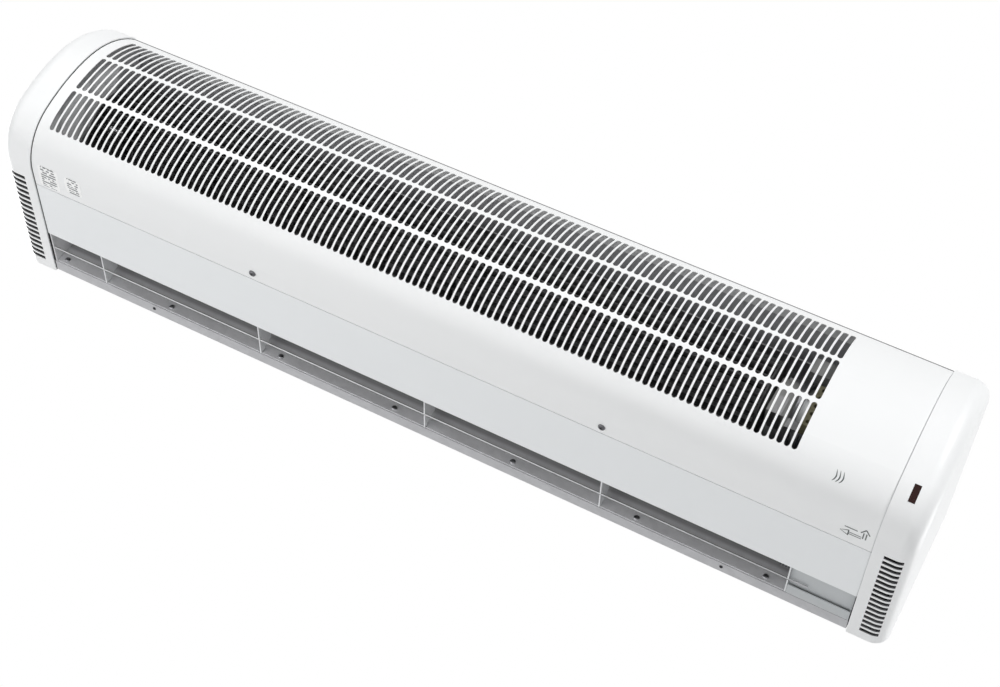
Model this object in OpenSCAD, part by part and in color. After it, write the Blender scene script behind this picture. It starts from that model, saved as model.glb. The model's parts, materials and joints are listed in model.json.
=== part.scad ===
// Wall-mounted air curtain with a cross-flow fan and a finned heater.
// X runs along the unit, the wall is the plane y = 0, the room is on the -Y side and Z points up.
// The origin is the centre of the four wall-fixing slots, on the wall plane.

/* [Casing] */
// Length of the sheet-metal casing between the end caps
cover_len = 1008; // [940:2:1400]
// Reach of the casing from the wall
depth = 241; // [236:1:260]
// Height of the casing, underside to top
height = 204; // [200:1:210]
// Thickness of the painted front cover
cover_t = 0.8; // [0.6:0.1:1.2]
// Thickness of the galvanised inner sheets
sheet_t = 1.2; // [0.8:0.1:1.5]
// Radius of the bend between the underside and the front
corner_r = 64; // [58:1:70]
// Radius of the front face
front_r = 214; // [190:1:240]
// Radius of the brow above the front face
brow_r = 124; // [118:1:130]
// Length of the cover's flange on top
top_flange = 20; // [14:1:30]
// Length of the flat part of the cover's underside
under_flange = 21.5; // [18:0.5:26]
// Outer radius of the fold at the lower rear edge
bend_r = 3; // [2:0.5:5]

/* [Intake slots] */
// Distance from slot to slot along the cover
slot_pitch = 8; // [7:0.5:10]
// Width of a slot
slot_w = 5.9; // [3.5:0.1:6]
// Length of a slot, measured along the sheet
slot_len = 52.4; // [44:0.4:53]
// Solid bridge between two rows of slots
slot_bridge = 4.4; // [3.6:0.2:6]
// Number of rows
slot_rows = 3; // [1:1:3]
// Distance from the left end of the cover to the first slot
slot_start = 17; // [14:1:40]
// Blank length at the right end of the cover
slot_blank = 103; // [96:1:200]
// Sheet length from the foot of the corner to the lowest row
slot_rise = 58.5; // [56:0.5:62]

/* [Outlet] */
// Distance from the wall to the front lip of the outlet
lip_y = 64.7; // [60:0.5:70]
// Width of the rear strip of the underside
strip_w = 17; // [15:0.5:20]
// Number of cross ribs in the outlet
rib_count = 5; // [3:1:5]
// Distance from rib to rib
rib_pitch = 215.5; // [190:0.5:222]
// Thickness of a cross rib
rib_t = 1.5; // [1:0.1:2.5]
// Height of a cross rib
rib_h = 22; // [16:1:24]
// Diameter of the long guard rod
guard_d = 2; // [1.5:0.1:3]
// Number of screws along the rear duct wall
duct_screw_count = 7; // [4:1:9]

/* [End caps] */
// Width of an end cap
cap_w = 42; // [38:1:60]
// Wall thickness of an end cap
cap_t = 1.6; // [1.2:0.1:1.6]
// How far an end cap stands proud of the casing
cap_proud = 2; // [1.9:0.1:2.5]
// Gap between an end cap and the casing
cap_gap = 1; // [0.5:0.1:2]
// Radius of the outer edges of an end cap
cap_round = 18; // [10:1:20]
// Number of vent slots under an end cap
vent_count = 17; // [8:1:17]
// Distance from vent to vent
vent_pitch = 8.4; // [7:0.1:8.6]
// Width of a vent slot
vent_w = 5.2; // [2:0.1:5.6]
// Length of a vent slot
vent_len = 20; // [14:1:22]
// Width of the receiver window
window_w = 6.5; // [5:0.5:9]
// Length of the receiver window
window_len = 18; // [14:1:22]

/* [Fan] */
// Distance from the front of the casing to the fan axis
fan_back = 106; // [104:0.5:107]
// Height of the fan axis above the underside
fan_z = 120; // [119:0.5:121]
// Outer radius of the fan rotor
fan_r = 54; // [48:0.5:54.5]
// Number of blades
blade_count = 28; // [18:1:32]
// Radial depth of a blade
blade_depth = 10; // [7:0.5:12]
// Thickness of a blade
blade_t = 1; // [0.8:0.1:1.4]
// Number of discs that carry the blades
disc_count = 8; // [4:1:9]
// Thickness of a disc
disc_t = 1.6; // [1.2:0.1:2.5]
// Gap between the rotor and the stabiliser nose
nose_gap = 4.5; // [3.5:0.5:6]
// Radius of the stabiliser nose
nose_r = 6; // [5:0.5:7]
// Radius of the scroll behind the rotor
scroll_r = 90; // [88:0.5:91]
// Diameter of the stub shaft in the left bearing
stub_d = 12; // [10:1:14]
// Diameter of the motor shaft
motor_shaft_d = 8; // [6:1:10]
// Radial running clearance of the shafts
run_gap = 0.05; // [0.03:0.01:0.08]

/* [Motor] */
// Diameter of the motor
motor_d = 84; // [76:1:88]
// Length of the motor
motor_len = 40; // [36:1:44]

/* [Heater] */
// Radius of a heater rod
rod_r = 4; // [3:0.25:5]
// Radius of the heater fins
fin_r = 10.5; // [8:0.5:11]
// Distance from fin to fin
fin_pitch = 12; // [10:1:16]
// Thickness of a fin
fin_t = 0.8; // [0.6:0.1:1.2]

/* [Wall fixing] */
// Distance between the two columns of fixing slots
fix_span = 1042; // [1038:1:1046]
// Distance between the upper and the lower fixing slots
fix_rise = 110; // [80:2:130]
// Height of the lower fixing slots above the underside
fix_low = 55; // [40:1:65]
// Width of a fixing slot
fix_w = 7; // [5:0.5:8]
// Length of a fixing slot
fix_len = 12; // [9:0.5:14]

/* [Hidden] */
$fn = 64;
// Gap between pieces that sit next to each other
seat_gap = 0.3;
// Screws: shank, head and hole
screw_r = 1.8;
screw_hole_r = 2.1;
head_r = 4;
head_h = 2.4;

// The front of the casing is three arcs that run into each other: corner, front face and brow.
// A heading t is the direction of travel up the front: 0 along the underside, 90 upright.
// The corner meets the front face where the outward direction is -lean, and the brow starts upright.
lean = [0.936, 0.352];
corner_sweep = atan2(lean[0], lean[1]);
function outward(t) = [-sin(t), -cos(t)];
front_c = [front_r - depth, corner_r + (front_r - corner_r) * lean[1]];
corner_c = [front_c[0] - (front_r - corner_r) * lean[0], corner_r];
brow_c = [brow_r - depth, front_c[1]];
corner_arc = corner_r * corner_sweep * PI / 180;
front_arc = front_r * (90 - corner_sweep) * PI / 180;

// Where an arc around the brow's centre reaches a height
function crown(r, h) = brow_c[0] - sqrt(r * r - (h - brow_c[1]) * (h - brow_c[1]));

// Heading and place on the sheet at a length s from the foot of the corner
function heading_at(s) =
    s < corner_arc ? s / corner_r * 180 / PI :
    s < corner_arc + front_arc ? corner_sweep + (s - corner_arc) / front_r * 180 / PI :
    90 + (s - corner_arc - front_arc) / brow_r * 180 / PI;
function place_at(s) =
    let(t = heading_at(s))
    s < corner_arc ? corner_c + corner_r * outward(t) :
    s < corner_arc + front_arc ? front_c + front_r * outward(t) :
    brow_c + brow_r * outward(t);

half_len = cover_len / 2;
seam_y = -corner_c[0] - under_flange;
fix_z = fix_low + fix_rise / 2;

fan_y = depth - fan_back;
slot_cols = floor((cover_len - slot_start - slot_blank) / slot_pitch + 0.001) + 1;
first_slot_x = -half_len + slot_start;

// The rear casing's top sheet lies over the cover's flange
lid_z = height - sheet_t;
cover_top = lid_z - seat_gap;
plate_top = cover_top - cover_t - seat_gap;
cap_in = half_len + cap_gap;
cap_out = cap_in + cap_w;

// Upright plates that close the casing and carry the fan
plate_l = -half_len + 1.5;
plate_r = half_len - 7;
wall_x = 433;
wall_low = rib_h + 3;
duct_wall_y = strip_w + sheet_t;

fan_c = [-fan_y, fan_z];
tray_l = wall_x + rib_t / 2 + seat_gap;
tray_r = half_len - 0.5;
rotor_l = plate_l + 16.5;
rotor_r = wall_x - 89;
motor_l = rotor_r + 8;
motor_r = motor_l + motor_len;
bracket_x = motor_r + 12;
scroll_c = [-strip_w - scroll_r, fan_z - 13];
nose_angle = -54.7;
nose_c = fan_c + (fan_r + nose_gap + nose_r + sheet_t / 2) * [cos(nose_angle), sin(nose_angle)];

rib_mid_x = wall_x - rib_pitch * 2;
guard_y = (lip_y + duct_wall_y) / 2;
guard_z = guard_d / 2 + 0.2;
// Heater rods, seen along the unit: one to the rear, one to the front and one above
heater_y = 45;
heater_z = 66;
heater_step = 24;
rods = [
    [-heater_y + heater_step / 2, heater_z],
    [-heater_y - heater_step / 2, heater_z - heater_step / 6],
    [-heater_y, heater_z + heater_step]
];
fin_x0 = plate_l + 21.5;
fin_count = floor((wall_x - 16 - fin_x0) / fin_pitch) + 1;
holder_every = floor(fin_count / 4);
holder_x = [for (k = [0:3]) fin_x0 + (k * holder_every + floor(holder_every / 2) + 0.5) * fin_pitch];

white = [0.97, 0.97, 0.96];
galvanised = [0.72, 0.73, 0.75];
black = [0.08, 0.08, 0.09];

// Moves a piece from heights above the underside to heights above the fixing centre
module placed() translate([0, 0, -fix_z]) children();

// Extrudes an outline drawn in (y, z) along the unit
module along_x(x0, x1) translate([x0, 0, 0]) rotate([90, 0, 90]) linear_extrude(x1 - x0) children();

// A round bar along the unit
module bar(r, x0, x1, c = fan_c) translate([x0, c[0], c[1]])
    rotate([0, 90, 0]) cylinder(r = r, h = x1 - x0);

// Sweeps an outline drawn as (distance from c, x) in a straight line at a heading, or all the way round c
module run_on(c, t, len) translate([0, c[0], c[1]]) rotate([90, 0, 90]) rotate(-90 - t) rotate([90, 0, 0])
    linear_extrude(len) children();
module drum(c) translate([0, c[0], c[1]]) rotate([90, 0, 90]) rotate_extrude() children();

// Box between two corners
module block(a, b) translate(a) cube(b - a);

// Parts of the cross-section that belong to each arc
far = 400;
seam_far = front_c - far * lean;
module corner_zone() intersection() {
    polygon([front_c, seam_far, [corner_c[0], -far]]);
    translate([corner_c[0] - far, -far]) square([far, 2 * far]);
}
module front_zone() polygon([front_c, seam_far, front_c - [far, 0]]);
function brow_zone(h) = [brow_c, brow_c - [far, 0], [brow_c[0] - far, h], [crown(brow_r, h) + 6, h]];

// Middle of the cross-section, which reaches into every arc's part
module core(back) polygon([
    [back, corner_c[1] - 20], corner_c - [0, 20], corner_c - 20 * lean,
    front_c - [front_r - corner_r + 20, 0], [brow_c[0] - 60, front_c[1] + 20], [back, front_c[1] + 20]
]);

// The casing's cross-section, drawn in by a distance, with its back at a given y
module profile(inset, back) {
    intersection() { translate(corner_c) circle(corner_r - inset); corner_zone(); }
    intersection() { translate(front_c) circle(front_r - inset); front_zone(); }
    intersection() { translate(brow_c) circle(brow_r - inset); polygon(brow_zone(height - inset)); }
    core(back);
    translate([corner_c[0], inset]) square([back - corner_c[0], corner_c[1] - inset]);
    polygon([
        [back, front_c[1]], brow_c,
        [crown(brow_r, height - inset) + 6, height - inset], [back, height - inset]
    ]);
}

// Outline of a folded sheet: a centre line given by its corners, with mitred bends
function unit(v) = v / norm(v);
function side(v) = [-v[1], v[0]];
function mitre(p, i, d) =
    let(
        n = len(p) - 1,
        a = side(unit(i == 0 ? p[1] - p[0] : p[i] - p[i - 1])),
        b = side(unit(i == n ? p[n] - p[n - 1] : p[i + 1] - p[i]))
    )
    p[i] + d * (a + b) / (1 + a * b);
module folded(p, t) polygon(concat(
    [for (i = [0:len(p) - 1]) mitre(p, i, t / 2)],
    [for (i = [len(p) - 1:-1:0]) mitre(p, i, -t / 2)]
));

// Stadium shape along y
module stadium(w, l) {
    square([w, l - w], center = true);
    for (s = [-1, 1]) translate([0, s * (l - w) / 2]) circle(w / 2);
}

// Turns and places what stands on the sheet at a length s and a place x
module on_sheet(x, s) translate([x, place_at(s)[0], place_at(s)[1]])
    rotate([180 - heading_at(s), 0, 0]) children();

// Screw along +Z with its head below z = 0
module screw(l) {
    cylinder(r = screw_r, h = l);
    translate([0, 0, -head_h]) intersection() {
        cylinder(r = head_r, h = head_h);
        translate([0, 0, head_h + 1.2]) sphere(r = sqrt(head_r * head_r + 1.2 * 1.2), $fn = 48);
    }
}

// FRONT COVER
cover_screw_x = 211;
cover_screw_y = -(seam_y + 11);

module cover_arc(c, r) along_x(-half_len, half_len) intersection() {
    difference() {
        translate(c) circle(r);
        translate(c) circle(r - cover_t);
    }
    children();
}
module cover_body() {
    block([-half_len, corner_c[0], 0], [half_len, -seam_y - panel_gap, cover_t]);
    cover_arc(corner_c, corner_r) corner_zone();
    cover_arc(front_c, front_r) front_zone();
    cover_arc(brow_c, brow_r) polygon(brow_zone(cover_top));
    // Flange folded back under the rear casing's top sheet
    along_x(-half_len, half_len) polygon([
        [crown(brow_r, cover_top) + 0.4, cover_top],
        [crown(brow_r, cover_top) - 0.3, cover_top - cover_t],
        [crown(brow_r, cover_top) + top_flange, cover_top - cover_t],
        [crown(brow_r, cover_top) + top_flange, cover_top]
    ]);
    // Thin cores inside the sheet tie the arcs together along their seams
    bar(cover_t / 4, -half_len, half_len, corner_c - (corner_r - cover_t / 2) * lean);
    bar(cover_t / 4, -half_len, half_len, front_c - [front_r - cover_t / 2, 0]);
}

module intake_slots() for (row = [0:slot_rows - 1], col = [0:slot_cols - 1])
    on_sheet(first_slot_x + col * slot_pitch, slot_rise + row * (slot_len + slot_bridge) + slot_len / 2)
        translate([0, 0, -8]) linear_extrude(12) stadium(slot_w, slot_len);

module front_cover() placed() color(white) difference() {
    cover_body();
    intake_slots();
    for (s = [-1, 1]) translate([s * cover_screw_x, cover_screw_y, -1])
        cylinder(r = screw_hole_r, h = cover_t + 2);
}

module cover_screws() placed() color("silver")
    for (s = [-1, 1]) translate([s * cover_screw_x, cover_screw_y, 0]) screw(9);

// REAR CASING
ear_x = cap_out - cap_t - 8;
ear_low = cap_round / 2;
ear_top = height - cap_round / 2;
strip_screw_x = 362;
strip_screw_y = -11;
gland_x = 466;
gland_y = -62;
gland_hole_r = 10.3;
cap_screw_y = [-55, -150];

lid_front = crown(brow_r, cover_top) + 0.4;
flange_h = 14;
module casing_section() {
    translate([-sheet_t, bend_r]) square([sheet_t, height - bend_r]);
    translate([lid_front, lid_z]) square([-lid_front, sheet_t]);
    translate([-strip_w, 0]) square([strip_w - bend_r, sheet_t]);
    translate([-strip_w, 0]) square([sheet_t, flange_h]);
}
module casing_bend() intersection() {
    difference() {
        translate([-bend_r, bend_r]) circle(bend_r);
        translate([-bend_r, bend_r]) circle(bend_r - sheet_t);
    }
    translate([-bend_r, 0]) square(bend_r);
}

module rear_casing() placed() color(galvanised) difference() {
    union() {
        along_x(-half_len, half_len) casing_section();
        along_x(-half_len, half_len) casing_bend();
        // Ears behind the end caps hold the wall-fixing slots and the caps
        block([-ear_x, -sheet_t, ear_low], [ear_x, 0, ear_top]);
        for (s = [-1, 1], y = cap_screw_y)
            translate([s * half_len, y, lid_z + sheet_t / 2]) cube([44, 18, sheet_t], center = true);
    }
    for (s = [-1, 1], z = [fix_low, fix_low + fix_rise])
        translate([s * fix_span / 2, -sheet_t - 1, z]) rotate([-90, 0, 0]) rotate(90)
            linear_extrude(sheet_t + 2) stadium(fix_w, fix_len);
    for (s = [-1, 1], y = cap_screw_y) translate([s * (half_len + 14), y, lid_z - 1])
        cylinder(r = screw_hole_r, h = sheet_t + 2);
    for (s = [-1, 1]) translate([s * strip_screw_x, strip_screw_y, -1])
        cylinder(r = screw_hole_r, h = sheet_t + 2);
    for (x = duct_screw_x) translate([x, -strip_w - 1, duct_screw_z]) rotate([-90, 0, 0])
        cylinder(r = screw_hole_r, h = sheet_t + 2);
    translate([gland_x, gland_y, lid_z - 1]) cylinder(r = gland_hole_r, h = sheet_t + 2);
}

module strip_screws() placed() color("silver")
    for (s = [-1, 1]) translate([s * strip_screw_x, strip_screw_y, 0]) scale(0.7) screw(8);

// UNDERSIDE AND DUCT
duct_screw_z = 7;
duct_screw_first = plate_l + 11.5;
duct_screw_last = wall_x - 24;
duct_screw_x = [for (i = [0:duct_screw_count - 1])
    duct_screw_first + i * (duct_screw_last - duct_screw_first) / (duct_screw_count - 1)];
wing = 20;
panel_gap = 0.9;

module bottom_panel() placed() color([0.93, 0.94, 0.95]) difference() {
    along_x(-half_len, half_len) {
        translate([-seam_y, 0]) square([seam_y - lip_y, cover_t]);
        translate([-seam_y - wing, cover_t]) square([wing + 8, cover_t]);
        translate([-lip_y - cover_t, 0]) square([cover_t, 20]);
    }
    for (s = [-1, 1]) translate([s * cover_screw_x, cover_screw_y, -1])
        cylinder(r = screw_hole_r, h = 2 * cover_t + 2);
}

module scroll_wall() placed() color(galvanised) difference() {
    along_x(plate_l + sheet_t + seat_gap, wall_x - sheet_t / 2 - seat_gap) {
        intersection() {
            difference() {
                translate(scroll_c) circle(scroll_r);
                translate(scroll_c) circle(scroll_r - sheet_t);
            }
            polygon(concat([scroll_c], [for (a = [0:26:130]) scroll_c + 2 * scroll_r * [cos(a), sin(a)]]));
        }
        translate([-duct_wall_y, sheet_t + seat_gap]) square([sheet_t, scroll_c[1] - sheet_t - seat_gap]);
    }
    for (x = duct_screw_x) translate([x, -duct_wall_y - 1, duct_screw_z]) rotate([-90, 0, 0])
        cylinder(r = screw_hole_r, h = sheet_t + 2);
}

module duct_screws() placed() color("silver")
    for (x = duct_screw_x)
        translate([x, -duct_wall_y, duct_screw_z]) rotate([-90, 0, 0]) scale(0.8) screw(9);

module duct_long() along_x(plate_l + sheet_t + seat_gap, wall_x - sheet_t / 2 - seat_gap) children();
module stabiliser() placed() color(galvanised) {
    duct_long() intersection() {
        difference() {
            translate(nose_c) circle(nose_r + sheet_t / 2);
            translate(nose_c) circle(nose_r - sheet_t / 2);
        }
        translate(nose_c + [-2 * nose_r, 0]) square([4 * nose_r, 2 * nose_r]);
    }
    // Front leg of the duct, down to the lip
    duct_long() folded([
        nose_c + [nose_r, 0.5],
        nose_c + [nose_r, -2],
        [-lip_y - cover_t - seat_gap - sheet_t / 2, 30],
        [-lip_y - cover_t - seat_gap - sheet_t / 2, 2 * cover_t + seat_gap]
    ], sheet_t + 0.1);
    // Rear leg with a foot on the bottom panel
    duct_long() folded([
        nose_c + [-nose_r, 0.5],
        [nose_c[0] - nose_r, cover_t + seat_gap + sheet_t / 2],
        [nose_c[0] - nose_r - 16, cover_t + seat_gap + sheet_t / 2]
    ], sheet_t + 0.1);
}

module outlet_ribs() placed() color(white)
    for (i = [0:rib_count - 1]) let(x = rib_mid_x + (i - (rib_count - 1) / 2) * rib_pitch)
        along_x(x - rib_t / 2, x + rib_t / 2) difference() {
            polygon([
                [-lip_y + seat_gap, 0], [-duct_wall_y - seat_gap, 0], [-duct_wall_y - seat_gap, 5],
                [-duct_wall_y - 8, rib_h], [-lip_y + seat_gap, rib_h]
            ]);
            // Notch that the guard rod sits in
            translate([-guard_y - guard_d / 2, -1]) square([guard_d, guard_z + guard_d / 2 + 1]);
        }

module guard_rod() placed() color("silver")
    bar(guard_d / 2, plate_l + sheet_t + seat_gap, wall_x + 22, [-guard_y, guard_z]);

// UPRIGHT PLATES
plate_low = 2 * cover_t + seat_gap;
module plate_outline(low) difference() {
    intersection() {
        profile(cover_t + seat_gap, -sheet_t - seat_gap);
        translate([-2 * depth, plate_low]) square([2 * depth, plate_top - plate_low]);
    }
    translate([-lip_y - 8, 0]) square([lip_y + 8, low]);
}
// Flange along the back of an upright plate, spot-welded to the rear casing
module back_flange(x0, x1)
    block([x0, -sheet_t - seat_gap - sheet_t, 40], [x1, -sheet_t - seat_gap, height - 24]);
bush_hole_r = 14;
bush_r = 17;
heater_hole_r = 7;

module side_plate_left() placed() color([0.5, 0.5, 0.52]) difference() {
    union() {
        along_x(plate_l, plate_l + sheet_t) plate_outline(wall_low);
        // Closes the left end of the outlet
        block([plate_l, -lip_y + seat_gap, seat_gap],
              [plate_l + sheet_t, -strip_w - seat_gap, wall_low + 2]);
        back_flange(-half_len, plate_l + sheet_t / 2);
    }
    bar(bush_hole_r, plate_l - 2, plate_l + sheet_t + 2);
    for (c = rods) bar(heater_hole_r, plate_l - 2, plate_l + sheet_t + 2, c);
}

lead_hole_r = 9;
lead_hole_c = [-fan_y - 55, 45];
module side_plate_right() placed() color(galvanised) difference() {
    union() {
        along_x(plate_r - sheet_t, plate_r) plate_outline(wall_low);
        back_flange(plate_r - sheet_t / 2, half_len);
    }
    // Opening for the lead of the receiver board
    bar(lead_hole_r, plate_r - sheet_t - 2, plate_r + 2, lead_hole_c);
}

module partition_plate() placed() color(galvanised) difference() {
    union() {
        along_x(wall_x - sheet_t / 2, wall_x + sheet_t / 2) plate_outline(wall_low);
        back_flange(wall_x, wall_x + 14);
    }
    for (c = rods) bar(heater_hole_r, wall_x - 3, wall_x + 3, c);
    // Way for the motor's leads
    bar(10, wall_x - 3, wall_x + 3, [-fan_y - 70, 90]);
    bracket_holes();
}

// The tray closes the outlet below the electrical bay, with a slit between its two levels
tray_z = 4;
tray_web_h = tray_z + 5;
slit_y = 29.2;
tray_foot_y = 32.3;
module compartment_tray() placed() color([0.68, 0.7, 0.71]) {
    block([tray_l, -lip_y + seat_gap, tray_z], [tray_r, -slit_y, tray_z + sheet_t]);
    block([tray_l, -tray_foot_y, seat_gap], [tray_r, -strip_w - seat_gap, seat_gap + sheet_t]);
    for (x = [tray_l, tray_r - sheet_t])
        block([x, -lip_y + seat_gap, tray_z], [x + sheet_t, -strip_w - seat_gap, tray_web_h]);
    for (x = [tray_l, tray_r - sheet_t])
        block([x, -tray_foot_y, seat_gap], [x + sheet_t, -strip_w - seat_gap, tray_z + 1]);
}

// END CAPS
// Half section of a cap from its inner edge to its rounded outer edge, drawn as (distance, x)
module cap_section(r, i, x_in) difference() {
    translate([0, x_in]) square([r - i, cap_out - i - x_in]);
    translate([r - cap_round, cap_out - cap_round]) difference() {
        square(cap_round + 5);
        circle(cap_round - i);
    }
}

// Closed form of a cap, drawn in by a distance
module cap_form(i, x_in, back) {
    run_on([back, corner_c[1]], 0, back - corner_c[0]) cap_section(corner_r + cap_proud, i, x_in);
    intersection() {
        drum(corner_c) cap_section(corner_r + cap_proud, i, x_in);
        along_x(x_in - 1, cap_out + 1) corner_zone();
    }
    intersection() {
        drum(front_c) cap_section(front_r + cap_proud, i, x_in);
        along_x(x_in - 1, cap_out + 1) front_zone();
    }
    along_x(x_in, cap_out - i) core(back);
    // Above the front face the brow and the flat top meet in a mitre
    intersection() {
        union() {
            drum(brow_c) cap_section(brow_r + cap_proud, i, x_in);
            block([x_in, brow_c[0], brow_c[1] - 1], [cap_out - i, back, height + 20]);
        }
        run_on([brow_c[0] - far, brow_c[1]], 180, far + back - brow_c[0])
            cap_section(height + cap_proud - brow_c[1], i, x_in);
    }
}

vent_in = 12.4;
vent_first = 16;
module cap_shell() difference() {
    union() {
        difference() {
            cap_form(0, cap_in, 0);
            cap_form(cap_t, cap_in - 1, 10);
        }
        // Bosses for the two fixing screws
        for (y = cap_screw_y)
            translate([half_len + 14, y, height]) cylinder(r = 5, h = cap_proud - cap_t / 2);
    }
    for (y = cap_screw_y) translate([half_len + 14, y, height - 1]) cylinder(r = screw_hole_r, h = 20);
    for (i = [0:vent_count - 1])
        translate([cap_in + vent_in + vent_len / 2, -vent_first - i * vent_pitch, 0])
            cube([vent_len, vent_w, 30], center = true);
}

module end_cap_left() placed() color(white) mirror([1, 0, 0]) cap_shell();

window_s = slot_rise + 6;
window_x = cap_in + 17.6;
// Heights above the sheet's outer face
window_top = cap_proud - 0.3;
wall_in = cap_proud - cap_t;
window_flange_t = 1.4;
window_seat = wall_in - 1.4;
post_at = window_len / 2 + 5.2;
post_r = 2.2;
post_top = sqrt(pow(corner_r + cap_proud, 2) - pow(post_at + post_r, 2)) - corner_r - 0.3;
board_face = wall_in - 10;
module end_cap_right() placed() color(white) {
    difference() {
        cap_shell();
        on_sheet(window_x, window_s) translate([0, 0, -3]) linear_extrude(12)
            square([window_w + 2 * seat_gap, window_len + 2 * seat_gap], center = true);
    }
    // Posts that carry the receiver board
    on_sheet(window_x, window_s) for (s = [-1, 1])
        translate([0, s * post_at, board_face]) cylinder(r = post_r, h = post_top - board_face);
}

module cap_screws() placed() color("silver") for (s = [-1, 1], y = cap_screw_y)
    translate([s * (half_len + 14), y, height + cap_proud]) mirror([0, 0, 1]) screw(11);

module receiver_window() placed() color([0.3, 0.04, 0.05]) on_sheet(window_x, window_s) {
    translate([0, 0, window_seat - 0.2]) linear_extrude(window_top - window_seat + 0.2)
        square([window_w, window_len], center = true);
    // Flange behind the cap's wall
    translate([0, 0, window_seat - window_flange_t]) linear_extrude(window_flange_t)
        square([window_w + 5, window_len + 5], center = true);
}

receiver_t = 1.6;
eye_h = window_seat - window_flange_t - seat_gap - board_face;
module receiver_board() placed() color([0.1, 0.35, 0.2]) on_sheet(window_x, window_s) {
    translate([0, 0, board_face - receiver_t]) linear_extrude(receiver_t)
        square([window_w + 11.5, window_len + 16], center = true);
    translate([0, 4, board_face]) cylinder(r = 3, h = eye_h);
    translate([0, -5, board_face]) cylinder(r = 1.5, h = eye_h);
}

// FAN
fan_bays = disc_count - 1;
bay_len = (rotor_r - rotor_l - disc_t) / fan_bays;
blade_r = blade_depth * 0.95;

module blade_section() intersection() {
    difference() {
        circle(fan_r - 0.8);
        circle(fan_r - 0.8 - blade_depth);
    }
    translate([fan_r - 0.8 - blade_depth * 0.42, -blade_r * 0.86]) difference() {
        circle(blade_r);
        circle(blade_r - blade_t);
    }
    translate([fan_r - 0.8 - blade_depth - 2, -blade_r * 0.7]) square([blade_depth + 4, blade_r * 1.6]);
}

module impeller() placed() color(black) {
    along_x(rotor_l, rotor_r) translate(fan_c)
        for (i = [0:blade_count - 1]) rotate(i * 360 / blade_count) blade_section();
    for (i = [0:fan_bays]) difference() {
        bar(fan_r, rotor_l + i * bay_len, rotor_l + i * bay_len + disc_t);
        if (i > 0 && i < fan_bays)
            bar(fan_r - blade_depth - 4, rotor_l + i * bay_len - 1, rotor_l + i * bay_len + disc_t + 1);
        else
            bar(11, rotor_l + i * bay_len - 1, rotor_l + i * bay_len + disc_t + 1);
    }
}

module stub_shaft() placed() color("silver") {
    bar(stub_d / 2, plate_l - 5, rotor_l + 14);
    // Flange riveted to the end disc
    bar(20, rotor_l + disc_t, rotor_l + disc_t + 2);
}

module left_bearing() placed() color([0.72, 0.55, 0.3]) difference() {
    bar(11, plate_l - 4, plate_l + sheet_t + 5);
    bar(stub_d / 2 + run_gap, plate_l - 5, plate_l + sheet_t + 6);
}

module bearing_bush() placed() color(black) difference() {
    bar(bush_r, plate_l - 3.5, plate_l + sheet_t + 3.5);
    bar(11 + run_gap, plate_l - 5, plate_l + sheet_t + 5);
    // Groove that the side plate sits in
    difference() {
        bar(bush_r + 1, plate_l - 0.1, plate_l + sheet_t + 0.1);
        bar(bush_hole_r - 0.1, plate_l - 1, plate_l + sheet_t + 1);
    }
}

module drive_hub() placed() color(black) difference() {
    union() {
        bar(20, rotor_r - disc_t - 3, rotor_r - disc_t);
        bar(10.9, rotor_r - disc_t, rotor_r + 3);
    }
    bar(motor_shaft_d / 2 + run_gap, rotor_r - 10, rotor_r + 10);
}

module motor_shaft() placed() color("silver") bar(motor_shaft_d / 2, rotor_r - disc_t - 3, motor_r + 4);

// MOTOR
module motor_stator() placed() color([0.6, 0.6, 0.62]) difference() {
    bar(motor_d / 2, motor_l + 11, motor_r - 11);
    bar(motor_shaft_d / 2 + 1, motor_l, motor_r);
}

module motor_shell() difference() {
    union() {
        bar(motor_d / 2 - 4, motor_l + 3, motor_l + 11);
        bar(motor_d / 2 - 10, motor_l, motor_l + 3);
    }
    bar(motor_shaft_d / 2 + run_gap, motor_l - 1, motor_l + 12);
    for (i = [0:7]) let(a = i * 45 + 22.5) bar(4, motor_l - 1, motor_l + 9, fan_c + 22 * [cos(a), sin(a)]);
}

module motor_shells() placed() color([0.8, 0.81, 0.82]) {
    motor_shell();
    translate([motor_l + motor_r, 0, 0]) mirror([1, 0, 0]) motor_shell();
}

damper_at = 25;
function damper_c(i) = fan_c + damper_at * [cos(i * 120 + 90), sin(i * 120 + 90)];
module motor_dampers() placed() color(black) for (i = [0:2]) bar(6, motor_r, bracket_x, damper_c(i));

// The bracket is a plate behind the motor on two webs, with feet turned in on the partition
bracket_t = 1.5;
bracket_h = 96;
bracket_front = 62;
bracket_rear = 28;
foot_h = 20;
foot_hole_z = bracket_h / 2 - foot_h / 2;
wall_face = wall_x - sheet_t / 2;
foot_hole_y = [-45, 15];
module bracket_holes() for (y = foot_hole_y, s = [-1, 1])
    bar(screw_hole_r, wall_x - 4, wall_x + 3, fan_c + [y, s * foot_hole_z]);
module motor_bracket() placed() color(galvanised) difference() {
    union() {
        block([bracket_x, -fan_y - bracket_front, fan_z - bracket_h / 2],
              [bracket_x + bracket_t, -fan_y + bracket_rear, fan_z + bracket_h / 2]);
        for (z = [fan_z - bracket_h / 2, fan_z + bracket_h / 2 - bracket_t])
            block([bracket_x, -fan_y - bracket_front, z],
                  [wall_face, -fan_y + bracket_rear, z + bracket_t]);
        for (z = [fan_z - bracket_h / 2, fan_z + bracket_h / 2 - foot_h])
            block([wall_face - bracket_t, -fan_y - bracket_front, z],
                  [wall_face, -fan_y + bracket_rear, z + foot_h]);
    }
    bar(14, bracket_x - 1, bracket_x + 3);
    for (i = [0:2]) bar(2.5, bracket_x - 1, bracket_x + 3, damper_c(i));
    bracket_holes();
}

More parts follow.
